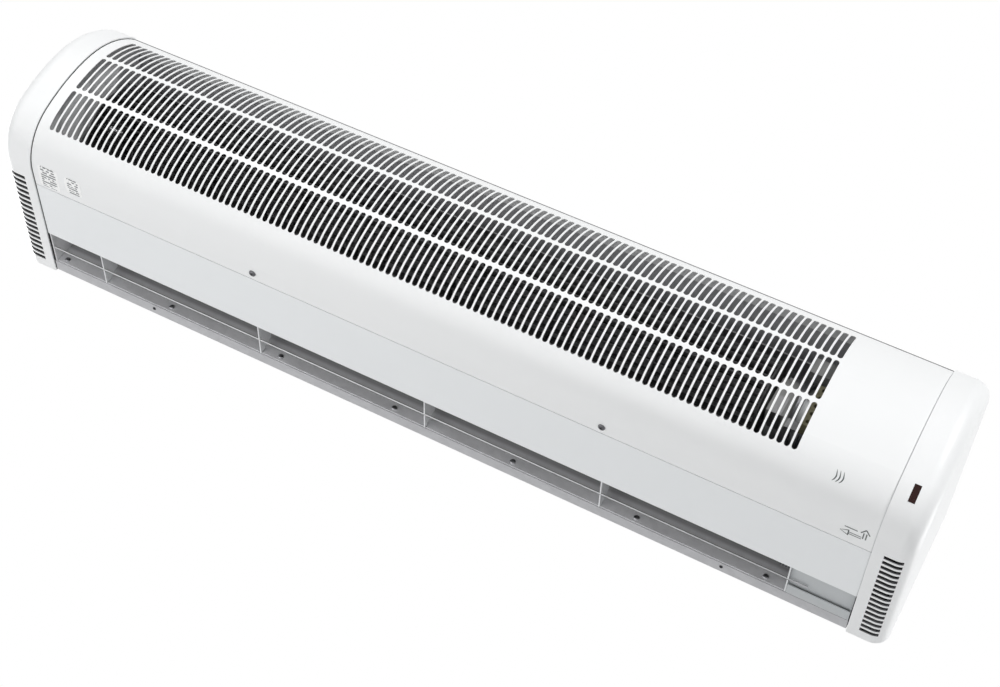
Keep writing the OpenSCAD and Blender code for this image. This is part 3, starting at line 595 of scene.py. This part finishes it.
# %% Give each CAD node its finish
DRESS = {
    cover_coat: ["front_cover"],
    panel_coat: ["bottom_panel"],
    cap_plastic: ["end_cap_left", "end_cap_right"],
    post_plastic: ["board_posts"],
    duct_plastic: ["outlet_ribs"],
    tray_plastic: ["compartment_tray"],
    rotor_plastic: ["impeller", "drive_hub"],
    relay_plastic: ["control_relays"],
    gland_nylon: ["cable_gland", "gland_nut"],
    cutout_plastic: ["thermal_cutout"],
    duct_zinc: ["scroll_wall"],
    shaded_inner_zinc: ["stabiliser", "partition_plate", "heater_holders", "motor_bracket"],
    plate_zinc: ["side_plate_left", "side_plate_right"],
    casing_zinc: ["rear_casing"],
    screw_zinc: ["cap_screws"],
    rod_steel: ["guard_rod"],
    strap_zinc: ["capacitor_strap"],
    shaft_steel: ["stub_shaft", "motor_shaft"],
    bearing_bronze: ["left_bearing"],
    heater_steel: ["heater_front", "heater_rear", "heater_upper"],
    stator_steel: ["motor_stator"],
    shell_alloy: ["motor_shells"],
    bush_rubber: ["bearing_bush", "motor_dampers"],
    bush_ceramic: ["heater_bushes"],
    terminal_resin: ["terminal_block", "mains_terminals"],
    capacitor_shell: ["capacitor", "motor_plug"],
    board_green: ["control_board", "receiver_board"],
    window_red: ["receiver_window"],
}


def dress(name, material):
    """Gives a CAD node one material in every slot."""
    mesh = nodes[name].data
    mesh.materials.clear()
    mesh.materials.append(material)


for material, names in DRESS.items():
    for name in names:
        dress(name, material)
dressed = sum(len(names) for names in DRESS.values())
print("dressed", dressed, "of", len(nodes), "nodes")

# %% [markdown]
# ## Screws with a cross recess
# A screw head is the smallest thing on the unit that the eye still checks. It is turned on a
# lathe, so its outline is spun round an axis here too, and a cross-shaped punch leaves the
# recess, so a Boolean cuts a tapered cross out of it. The plain CAD screws keep their places:
# each row of them is replaced by one piece with the heads where the CAD screws are.

# %% Turn a form
ROUND_STEPS = 36


def meshed(form, name):
    """The form as a mesh of its own."""
    mesh = bpy.data.meshes.new(name)
    form.to_mesh(mesh)
    form.free()
    return mesh


def lathe(outline):
    """A closed form from points (radius, height), both ends on the axis."""
    form = bmesh.new()
    turns = [2 * math.pi * k / ROUND_STEPS for k in range(ROUND_STEPS)]
    rings = []
    for radius, height in outline:
        ring = [(radius * math.cos(a), radius * math.sin(a), height) for a in turns]
        if radius == 0:
            ring = [(0, 0, height)]
        rings.append([form.verts.new(point) for point in ring])
    for low, high in zip(rings, rings[1:]):
        for k in range(ROUND_STEPS):
            n = (k + 1) % ROUND_STEPS
            lower = [low[k % len(low)], low[n % len(low)]]
            upper = [high[n % len(high)], high[k % len(high)]]
            form.faces.new(list(dict.fromkeys(lower + upper)))
    bmesh.ops.recalc_face_normals(form, faces=form.faces)
    return meshed(form, "turned")


print("a turned form has", ROUND_STEPS, "steps in a round")

# %% Punch a cross out of it
POINT_SHARE = 0.55


def cross_punch(span, width, depth, top):
    """Two crossing wedges that narrow towards their point."""
    form = bmesh.new()
    for turn in (0.0, math.pi / 2):
        made = bmesh.ops.create_cube(form, size=1.0)["verts"]
        for vert in made:
            deep = vert.co.z > 0
            across = vert.co.x * span * (POINT_SHARE if deep else 1.0)
            vert.co = Vector((across, vert.co.y * width, depth if deep else -top))
        twist = Matrix.Rotation(turn, 3, "Z")
        bmesh.ops.rotate(form, verts=made, cent=(0, 0, 0), matrix=twist)
    return meshed(form, "punch")


def cut_away(body_mesh, tool_mesh):
    """The body without what the tool covers."""
    scene = bpy.context.scene.collection.objects
    body = bpy.data.objects.new("cut_body", body_mesh)
    tool = bpy.data.objects.new("cut_tool", tool_mesh)
    scene.link(body)
    scene.link(tool)
    modifier = body.modifiers.new("cut", "BOOLEAN")
    modifier.operation = "DIFFERENCE"
    modifier.solver = "EXACT"
    modifier.use_self = True
    modifier.object = tool
    graph = bpy.context.evaluated_depsgraph_get()
    result = bpy.data.meshes.new_from_object(body.evaluated_get(graph))
    bpy.data.objects.remove(body)
    bpy.data.objects.remove(tool)
    return result


print("the punch narrows to", POINT_SHARE, "of its span")

# %% Make one screw
DOME_STEPS = 6
RIM_SHARE = 0.35
COVER_HEAD = 0.0040


def pan_head_screw(head, height, shank, length):
    """A screw along +Z with its head below z = 0, as the CAD screws have it."""
    dome = []
    for k in range(DOME_STEPS + 1):
        a = math.pi / 2 * k / DOME_STEPS
        dome.append((head * math.sin(a), -height * (RIM_SHARE + (1 - RIM_SHARE) * math.cos(a))))
    outline = dome + [(head, 0.0), (shank, 0.0), (shank, length - shank), (0.0, length)]
    blank = lathe(outline)
    punch = cross_punch(span=head * 1.25, width=head * 0.26, depth=height * 0.15, top=height * 1.3)
    punch.transform(Matrix.Translation((0, 0, -height * RIM_SHARE)))
    return cut_away(blank, punch)


cover_screw = pan_head_screw(COVER_HEAD, height=0.0024, shank=0.0018, length=0.009)
print("faces in a cover screw:", len(cover_screw.polygons))

# %% [markdown]
# ## Rows of screws
# The CAD model says where a row starts and ends: its box runs from the first head's edge to the
# last one's. With the number of screws that fixes every place, and no place has to be typed
# again. The two screws in the rear strip get smaller heads than those of the CAD model.

# %% What a new piece goes through


def smooth(mesh, angle=32):
    """Rounded shading with crisp edges where faces meet at more than an angle."""
    mesh.shade_smooth()
    mesh.set_sharp_from_angle(angle=math.radians(angle))


def piece(name, mesh, material, body="housing", stands_for=()):
    """Puts a new mesh into the scene as a finished piece of the object."""
    mesh.materials.clear()
    mesh.materials.append(material)
    made = bpy.data.objects.new(name, mesh)
    bpy.context.scene.collection.objects.link(made)
    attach(made, body)
    if stands_for:
        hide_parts(*stands_for)
    return made


def copies(mesh, places):
    """One mesh with a copy at each place."""
    form = bmesh.new()
    for matrix in places:
        part = mesh.copy()
        part.transform(matrix)
        form.from_mesh(part)
        bpy.data.meshes.remove(part)
    return meshed(form, "copies")


print("a new piece rides on a body, has a slot and may replace CAD nodes")

# %% Put the screws where the CAD has them
SCREW_TWIST = 23


def screw_row(node, count, head, turn, into):
    """Where a CAD node's screws stand: evenly along X, their heads' undersides on a sheet."""
    low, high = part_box(node)
    step = (high[0] - low[0] - 2 * head) / (count - 1)
    across = [(a + b) / 2 for a, b in zip(low, high)]
    places = []
    for k in range(count):
        spot = Vector((low[0] + head + k * step, across[1], across[2]))
        for axis, value in into.items():
            spot[axis] = value
        twist = Matrix.Rotation(math.radians(SCREW_TWIST * k), 4, "Z")
        places.append(Matrix.Translation(spot) @ turn @ twist)
    return places


STRIP_CAD_HEAD = 0.0028
SMALL_HEAD = 0.0032
SMALL_HEIGHT = 0.00192
upright = Matrix.Identity(4)
into_wall = Matrix.Rotation(math.radians(-90), 4, "X")
duct_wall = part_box("duct_screws")[0][1] + SMALL_HEIGHT
small = pan_head_screw(SMALL_HEAD, SMALL_HEIGHT, shank=0.00144, length=0.0072)
tiny = pan_head_screw(0.0020, height=0.0013, shank=0.00126, length=0.0056)
rows = {
    "cover_screws": (cover_screw, 2, COVER_HEAD, upright, {2: UNIT_FOOT}, dull_steel),
    "strip_screws": (tiny, 2, STRIP_CAD_HEAD, upright, {2: UNIT_FOOT}, black_steel),
    "duct_screws": (small, 7, SMALL_HEAD, into_wall, {1: duct_wall}, screw_zinc),
}
for node, (mesh, count, head, turn, into, material) in rows.items():
    heads = copies(mesh, screw_row(node, count, head, turn, into))
    smooth(heads)
    name = node.replace("_screws", "_screw_heads")
    piece(name, heads, material, stands_for=(node,))

# %% [markdown]
# ## Marks on the paint
# Two paper labels sit at the left end, and two small signs are printed at the right end. All of
# them follow the sheet round its bend, so they are drawn in two flat coordinates, the distance
# along the unit and the distance along the sheet, and a function lays such a point on the metal.
# The labels carry only rows of short dashes, and the signs are a heat sign of three waves and a
# pair of arrows.

# %% Lay flat shapes on the bent sheet
BEND_RADIUS = 0.064
BEND_CENTRE = (-0.1674, UNIT_FOOT + BEND_RADIUS)
MILLIMETRE = 0.001


def on_sheet(x, run, lift):
    """A point above the sheet; run is 0 where the bend starts, and negative on the underside."""
    if run < 0:
        return Vector((x, BEND_CENTRE[0] - run, UNIT_FOOT - lift))
    turn = run / BEND_RADIUS
    reach = BEND_RADIUS + lift
    height = BEND_CENTRE[1] - reach * math.cos(turn)
    return Vector((x, BEND_CENTRE[0] - reach * math.sin(turn), height))


print("the bend starts at y =", BEND_CENTRE[0])

# %% Draw brush strokes
FILM_LIFT = 0.00008


def cubic(p, q, r, w, t):
    """The value at t on the way from q to r, with p before and w after them."""
    start = 2 * q + (r - p) * t
    return 0.5 * (start + (2 * p - 5 * q + 4 * r - w) * t * t + (3 * q - p - 3 * r + w) * t ** 3)


def curve_points(points, steps=10):
    """A smooth line through points, made of a cubic from each point to the next."""
    padded = [points[0]] + points + [points[-1]]
    line = []
    for fours in zip(padded, padded[1:], padded[2:], padded[3:]):
        for k in range(steps):
            line.append(Vector([cubic(*values, k / steps) for values in zip(*fours)]))
    line.append(Vector(points[-1]))
    return line


def ribbon(form, pairs):
    """Faces from each pair of points to the next."""
    for (a, b), (c, d) in zip(pairs, pairs[1:]):
        form.faces.new((a, b, d, c))


def stroke(form, points, lift):
    """A brush stroke through points (x, run, width), as a thin film on the sheet."""
    line = curve_points(points) if len(points) > 2 else [Vector(p) for p in points]
    pairs = []
    for k, here in enumerate(line):
        before = line[max(k - 1, 0)]
        after = line[min(k + 1, len(line) - 1)]
        way = Vector((after.x - before.x, after.y - before.y)).normalized()
        side = Vector((-way.y, way.x)) * here.z / 2
        spots = [(here.x + e * side.x, here.y + e * side.y) for e in (1, -1)]
        pairs.append([form.verts.new(on_sheet(*spot, lift)) for spot in spots])
    ribbon(form, pairs)


def film(name, strokes):
    """A printed sign made of strokes."""
    form = bmesh.new()
    for points in strokes:
        stroke(form, points, FILM_LIFT)
    return meshed(form, name)


print("ink lies", FILM_LIFT, "m above the paint")

# %% Print the waves and the arrows


def printing_ink(name, tone):
    """Dull ink that is a little thin in places."""
    ink = Finish(name, Specular_IOR_Level=0.3)
    thin = ink.noise(1800.0, 2.0)
    ink.feed("Base Color", ink.blend(thin, tone, tuple(v * 1.5 for v in tone)))
    ink.feed("Roughness", ink.between(thin, 0.45, 0.65))
    return ink.material


def mm(points):
    """Points given in millimetres, in metres."""
    return [tuple(v / 1000 for v in point) for point in points]


sign_ink = printing_ink("sign_ink", (0.10, 0.11, 0.11))
WAVE_STEP = 3.6
wave = [
    (447.3, 57.0, 0.3), (448.2, 53.4, 0.9), (448.6, 50.2, 1.3), (447.6, 47.2, 1.1),
    (446.0, 45.2, 0.4),
]
waves = [mm([(x + k * WAVE_STEP, run, width) for x, run, width in wave]) for k in range(3)]
piece("heat_sign", film("heat_sign", waves), sign_ink)

arrows = [
    mm([(472.5, 2.6, 1.2), (486.0, 2.6, 1.2)]),
    mm([(477.0, -4.2, 1.1), (491.0, -4.2, 1.1)]),
    mm([(477.0, -7.0, 1.1), (491.0, -7.0, 1.1)]),
    mm([(469.0, -5.4, 0.4), (478.0, -1.2, 1.3)]),
    mm([(469.0, -5.4, 0.4), (478.0, -9.6, 1.3)]),
    mm([(477.6, -1.6, 1.1), (477.6, -9.2, 1.1)]),
    mm([(492.4, -6.0, 1.2), (492.4, 3.6, 1.2)]),
    mm([(495.4, -6.0, 1.2), (495.4, 3.6, 1.2)]),
    mm([(489.2, 2.6, 1.3), (493.9, 8.8, 1.3)]),
    mm([(498.6, 2.6, 1.3), (493.9, 8.8, 1.3)]),
]
piece("arrow_sign", film("arrow_sign", arrows), sign_ink)
print("signs:", len(waves), "waves and", len(arrows), "strokes of the arrows")

# %% [markdown]
# ## Paper labels
# A label is a thin sheet, a little whiter than the paint, with its print inside a clear margin.
# It is made as a grid that is laid on the bend, with a rim down to the paint where the sheet is
# flat. The print is only short grey dashes in rows, which the material draws from the label's own
# place, with one noise that breaks each row up.

# %% Cut and rule the labels
MARGIN = 0.0035
CORNER_CUT = 0.0011


def label_paper(name, start, end, rules):
    """White paper with rows of grey dashes along X, within a margin."""
    paper = Finish(name, Specular_IOR_Level=0.3)
    along, out = paper.parts(paper.place())[:2]
    run = (BEND_CENTRE[0] - out) / MILLIMETRE
    fibre = paper.noise(900.0, 3.0)
    white_paper = paper.blend(fibre, (0.97, 0.97, 0.965), (0.94, 0.94, 0.935))
    inside = (along > start + MARGIN) * (along < end - MARGIN)
    in_row = (run * (2 * math.pi / rules)).sine() > -0.1
    dash = in_row * (paper.noise(230.0, 0.0) > 0.44)
    paper.feed("Base Color", paper.blend(dash * inside * 0.9, white_paper, (0.10, 0.11, 0.12)))
    paper.feed("Roughness", paper.between(fibre, 0.45, 0.6))
    paper.bump(fibre, 0.00002, 0.3)
    return paper.material


def paper_label(name, start, end, low, high, rules, steps=12, lift=0.00014):
    """A label between two places along X and two along the sheet, all in metres."""
    form = bmesh.new()
    grid = []
    for j in range(steps + 1):
        run = low + (high - low) * j / steps
        pull = CORNER_CUT if j in (0, steps) else 0.0
        grid.append([form.verts.new(on_sheet(x, run, lift)) for x in (start + pull, end - pull)])
    ribbon(form, grid)
    rim = [edge for edge in form.edges if edge.is_boundary]
    skirt = bmesh.ops.extrude_edge_only(form, edges=rim)["geom"]
    for vert in skirt:
        if isinstance(vert, bmesh.types.BMVert):
            vert.co.z += lift if vert.co.z < UNIT_FOOT + lift else 0.0
    bmesh.ops.recalc_face_normals(form, faces=form.faces)
    mesh = meshed(form, name)
    piece(name, mesh, label_paper(name + "_paper", start, end, rules))


paper_label("paper_label_left", start=-0.4960, end=-0.4685, low=-0.0170, high=0.0130, rules=3.6)
paper_label("paper_label_right", start=-0.4595, end=-0.4375, low=-0.0105, high=0.0115, rules=3.4)
print("labels laid on the bend")

# %% [markdown]
# ## The teeth at the outlet's lip
# Near the right end, four small black teeth look out from under the front lip. One tooth is a
# bevelled peg, and the four are spaced as they are seen.

# %% Four teeth behind the lip
LIP_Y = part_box("bottom_panel")[1][1]
TOOTH_PLACES = (0.4212, 0.4245, 0.4276, 0.4304)
TOOTH_SIZE = (0.0017, 0.0044, 0.0034)
TOOTH_BEHIND_LIP = 0.0027
TOOTH_RISE = 0.0022
BEVEL = 0.0003


def bevelled_peg(width, depth, height):
    """A peg with bevelled edges."""
    form = bmesh.new()
    bmesh.ops.create_cube(form, size=1.0)
    for vert in form.verts:
        vert.co = Vector((vert.co.x * width, vert.co.y * depth, vert.co.z * height))
    edges = form.edges[:]
    bmesh.ops.bevel(form, geom=edges, offset=BEVEL, segments=2, affect="EDGES", profile=0.5)
    return meshed(form, "tooth")


spots = [(x, LIP_Y + TOOTH_BEHIND_LIP, UNIT_FOOT + TOOTH_RISE) for x in TOOTH_PLACES]
lip_teeth = copies(bevelled_peg(*TOOTH_SIZE), [Matrix.Translation(spot) for spot in spots])
smooth(lip_teeth)
piece("lip_teeth", lip_teeth, relay_plastic)
print("teeth behind y =", round(LIP_Y, 4))

# %% [markdown]
# ## Two dark strips of painted shade
# At the left end of the outlet, a thin dark line parts the cap from the duct. A dark strip
# fills the space between the cap's edge and the side plate, without touching either, and its
# dark colour is painted shade. It could be left out, but then the eye looks through the gap to
# the white background. A second dark strip lies behind the slit of the tray, just off the
# casing's front fold, and makes the slit black, as painted shade.

# %% A strip between cap and side plate, and one behind the tray's slit
SIDE_PLATE_FACE = -0.5025
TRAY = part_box("compartment_tray")
TRAY_WALL = 0.0016
STRIP_PLAY = 0.0002
STRIP_INSET = 0.0005
STRIP_REAR = -0.0175
STRIP_TOP = 0.0245
SLIT_Y = (-0.0184, -0.0172)
SLIT_Z = (0.0056, 0.0136)


def shade_strip(name, low, high):
    """A dark strip between two corners, with bevelled edges, as painted shade."""
    strip = bevelled_peg(*(b - a for a, b in zip(low, high)))
    strip.transform(Matrix.Translation(tuple((a + b) / 2 for a, b in zip(low, high))))
    smooth(strip)
    # The strip's dark colour is painted shade.
    piece(name, strip, bush_rubber)
    print(name, "from x =", round(low[0], 4), "to", round(high[0], 4))


shade_strip(
    "outlet_end_seal",
    (-CAP_INNER_EDGE + STRIP_PLAY, LIP_Y + STRIP_INSET, UNIT_FOOT + STRIP_INSET),
    (SIDE_PLATE_FACE - STRIP_PLAY, STRIP_REAR, UNIT_FOOT + STRIP_TOP),
)
shade_strip(
    "tray_slit_seal",
    (TRAY[0][0] + TRAY_WALL, SLIT_Y[0], UNIT_FOOT + SLIT_Z[0]),
    (TRAY[1][0] - TRAY_WALL, SLIT_Y[1], UNIT_FOOT + SLIT_Z[1]),
)

# %% [markdown]
# ## The seam of the right cap
# The seam of the right cap is pale, where that of the left one is dark. A light strip lies in it
# as painted light, for the light that falls into that seam from the right. Its form is the sheet's
# own end face, read from the CAD mesh, moved out by a hair and drawn out along the unit until it
# nearly meets the cap.

# %% A pale strip along the right edge of the cover and the panel
ON_THE_EDGE = 0.00005


def draw_out(form, axis, value):
    """Extrudes the form's faces until the new ones lie at a value along an axis."""
    grown = bmesh.ops.extrude_face_region(form, geom=form.faces[:])["geom"]
    for vert in grown:
        if isinstance(vert, bmesh.types.BMVert):
            vert.co[axis] = value
    bmesh.ops.recalc_face_normals(form, faces=form.faces)


def seam_strip(node, clear=0.00012, width=0.00076):
    """A strip with the outline of a sheet's right end face."""
    source = bpy.data.objects[node]
    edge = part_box(node)[1][0]
    form = bmesh.new()
    form.from_mesh(source.data)
    form.transform(source.matrix_world)
    others = [f for f in form.faces if any(abs(v.co.x - edge) > ON_THE_EDGE for v in f.verts)]
    bmesh.ops.delete(form, geom=others, context="FACES")
    for vert in form.verts:
        vert.co.x = edge + clear
    draw_out(form, 0, edge + clear + width)
    return meshed(form, node + "_seam")


# Painted light: a pale grey strip stands for the light in the right cap's seam.
seam_painted_light = moulded("seam_painted_light", (0.74, 0.75, 0.76), (0.70, 0.71, 0.72), roughness=0.6)
for node in ("front_cover", "bottom_panel"):
    strip = piece(node + "_seam_strip", seam_strip(node), seam_painted_light)
    print(strip.name, "has", len(strip.data.polygons), "faces")

# %% [markdown]
# ## Foam behind the end caps
# The casing's ears are smaller than the caps, and each has two slots for wall screws. Seen through
# the vents from below, that would let the white background through. A flat foam strip fills the
# space between an ear's lower outer edges and the cap, and a thin foam pad lies over each slot on
# the ear's front, for a wall screw to go through. The foam's dark colour is painted shade.

# %% Foam strips and pads
CAP_SKIN = 0.0016
PLAY = 0.0003
EAR_INSET = 0.008
EAR_RISE = 0.009
EAR = (CAP_END - CAP_SKIN - EAR_INSET, UNIT_FOOT + EAR_RISE)
CAP_TURN = (CAP_END - CAP_EDGE_RADIUS, CAP_FOOT + CAP_EDGE_RADIUS)
TURN_STEPS = 8
FOAM_FRONT = -0.0011
FOAM_BACK = -0.0001


def foam_strip(side):
    """An L of flat foam from the cap's inner edge round the ear's lower corner and up its end."""
    low = EAR[1] - PLAY
    pairs = [((CAP_INNER_EDGE + PLAY, CAP_FOOT + CAP_SKIN + PLAY), (CAP_INNER_EDGE + PLAY, low))]
    reach = CAP_EDGE_RADIUS - CAP_SKIN - PLAY
    for k in range(TURN_STEPS + 1):
        turn = math.radians(90.0 * k / TURN_STEPS - 90.0)
        outer = (CAP_TURN[0] + reach * math.cos(turn), CAP_TURN[1] + reach * math.sin(turn))
        along = min(1.0, 2.0 * k / TURN_STEPS)
        rise = max(0.0, 2.0 * k / TURN_STEPS - 1.0)
        across = CAP_TURN[0] + along * (EAR[0] + PLAY - CAP_TURN[0])
        pairs.append((outer, (across, low + rise * (CAP_TURN[1] - low))))
    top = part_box("end_cap_right")[1][2] - CAP_EDGE_RADIUS
    pairs.append(((CAP_END - CAP_SKIN - PLAY, top), (EAR[0] + PLAY, top)))
    form = bmesh.new()
    edges = [[form.verts.new((side * x, FOAM_FRONT, z)) for x, z in pair] for pair in pairs]
    ribbon(form, edges)
    draw_out(form, 1, FOAM_BACK)
    return meshed(form, "foam_strip")


# The foam's dark colour is painted shade.
for side, name in ((-1.0, "cap_foam_left"), (1.0, "cap_foam_right")):
    piece(name, foam_strip(side), bush_rubber)

SLOT_X, SLOT_Z = 0.521, 0.055
PAD_Y = -0.0018
PAD_SIZE = (0.017, 0.0009, 0.012)
spots = [(x, PAD_Y, z) for x in (-SLOT_X, SLOT_X) for z in (-SLOT_Z, SLOT_Z)]
slot_pads = copies(bevelled_peg(*PAD_SIZE), [Matrix.Translation(spot) for spot in spots])
# The pads' dark colour is painted shade.
piece("slot_pads", slot_pads, bush_rubber)
print("foam strips and", len(spots), "pads")

# %% [markdown]
# ## Floor, background and light
# The unit hangs on a wall, so the pale floor is well below it and below the camera. A white
# background comes from the world, which shows pure white to the camera, to glossy and to clear
# rays, and a softer level to everything else. The main light stands in front, a little to the
# right and less than thirty degrees up. It reaches through the slots to the left side plate, and
# the underside turns away from it, so the bend between front and underside shows as a narrow
# change of tone. A weaker one from the left draws glints on the rotor. A wide lamp near the floor
# lifts the underside, and two weak ones behind light the back and the ends.

# %% Lay the floor and fill the world
FLOOR_DROP = 1.5
FLOOR_REACH = 6.0


def pale_floor():
    """A large plain floor that isn't part of the object."""
    form = bmesh.new()
    bmesh.ops.create_grid(form, x_segments=2, y_segments=2, size=FLOOR_REACH)
    mesh = meshed(form, "studio_floor")
    floor = bpy.data.objects.new("studio_floor", mesh)
    floor.location.z = UNIT_FOOT - FLOOR_DROP
    bpy.context.scene.collection.objects.link(floor)
    card = Finish("studio_floor", Roughness=0.9)
    card.feed("Base Color", card.blend(card.noise(3.0), (0.86, 0.86, 0.86), (0.84, 0.84, 0.84)))
    mesh.materials.append(card.material)


def white_world(level):
    """White where it is seen or mirrored, and softer where it lights."""
    world = bpy.data.worlds.new("studio")
    bpy.context.scene.world = world
    world.use_nodes = True
    tree = world.node_tree
    tree.nodes.clear()
    path = tree.nodes.new("ShaderNodeLightPath")
    seen = None
    for ray in ("Is Camera Ray", "Is Glossy Ray", "Is Transmission Ray"):
        if seen is None:
            seen = path.outputs[ray]
            continue
        either = tree.nodes.new("ShaderNodeMath")
        either.operation = "MAXIMUM"
        tree.links.new(seen, either.inputs[0])
        tree.links.new(path.outputs[ray], either.inputs[1])
        seen = either.outputs[0]
    light = tree.nodes.new("ShaderNodeBackground")
    light.inputs["Strength"].default_value = level
    light.inputs["Color"].default_value = (0.96, 0.98, 1.0, 1.0)
    white = tree.nodes.new("ShaderNodeBackground")
    white.inputs["Strength"].default_value = 1.0
    white.inputs["Color"].default_value = (1.0, 1.0, 1.0, 1.0)
    pick = tree.nodes.new("ShaderNodeMixShader")
    tree.links.new(seen, pick.inputs[0])
    tree.links.new(light.outputs[0], pick.inputs[1])
    tree.links.new(white.outputs[0], pick.inputs[2])
    out = tree.nodes.new("ShaderNodeOutputWorld")
    tree.links.new(pick.outputs[0], out.inputs["Surface"])


pale_floor()
white_world(level=0.23)
print("floor at z =", round(UNIT_FOOT - FLOOR_DROP, 3))

# %% Set the lamps
UNIT_MIDDLE = (0, -0.1, 0)
SUN_DISTANCE = 5


def aimed(name, data, place, target=UNIT_MIDDLE):
    """Puts a lamp at a place and points it at a target."""
    lamp = bpy.data.objects.new(name, data)
    lamp.location = place
    lamp.rotation_mode = "QUATERNION"
    lamp.rotation_quaternion = (Vector(target) - Vector(place)).to_track_quat("-Z", "Y")
    bpy.context.scene.collection.objects.link(lamp)


def area_lamp(name, place, size, power):
    """A soft rectangular lamp."""
    data = bpy.data.lights.new(name, "AREA")
    data.shape = "RECTANGLE"
    data.size, data.size_y = size
    data.energy = power
    aimed(name, data, place)


def far_lamp(name, direction, strength, width):
    """A lamp so far away that it lights everything alike, with a width in degrees."""
    data = bpy.data.lights.new(name, "SUN")
    data.energy = strength
    data.angle = math.radians(width)
    aimed(name, data, tuple(v * SUN_DISTANCE for v in direction), target=(0, 0, 0))


far_lamp("key_right", direction=(0.35, -0.82, 0.45), strength=2.12, width=10.0)
far_lamp("key_left", direction=(-0.50, -0.80, 0.33), strength=0.34, width=14.0)
area_lamp("bounce_below", place=(-0.60, -0.60, -1.40), size=(2.0, 1.4), power=10.0)
far_lamp("rear_left", direction=(-0.75, 0.60, 0.20), strength=1.1, width=30.0)
far_lamp("rear_right", direction=(0.75, 0.60, 0.20), strength=1.1, width=30.0)
bpy.context.scene.view_settings.view_transform = "Standard"
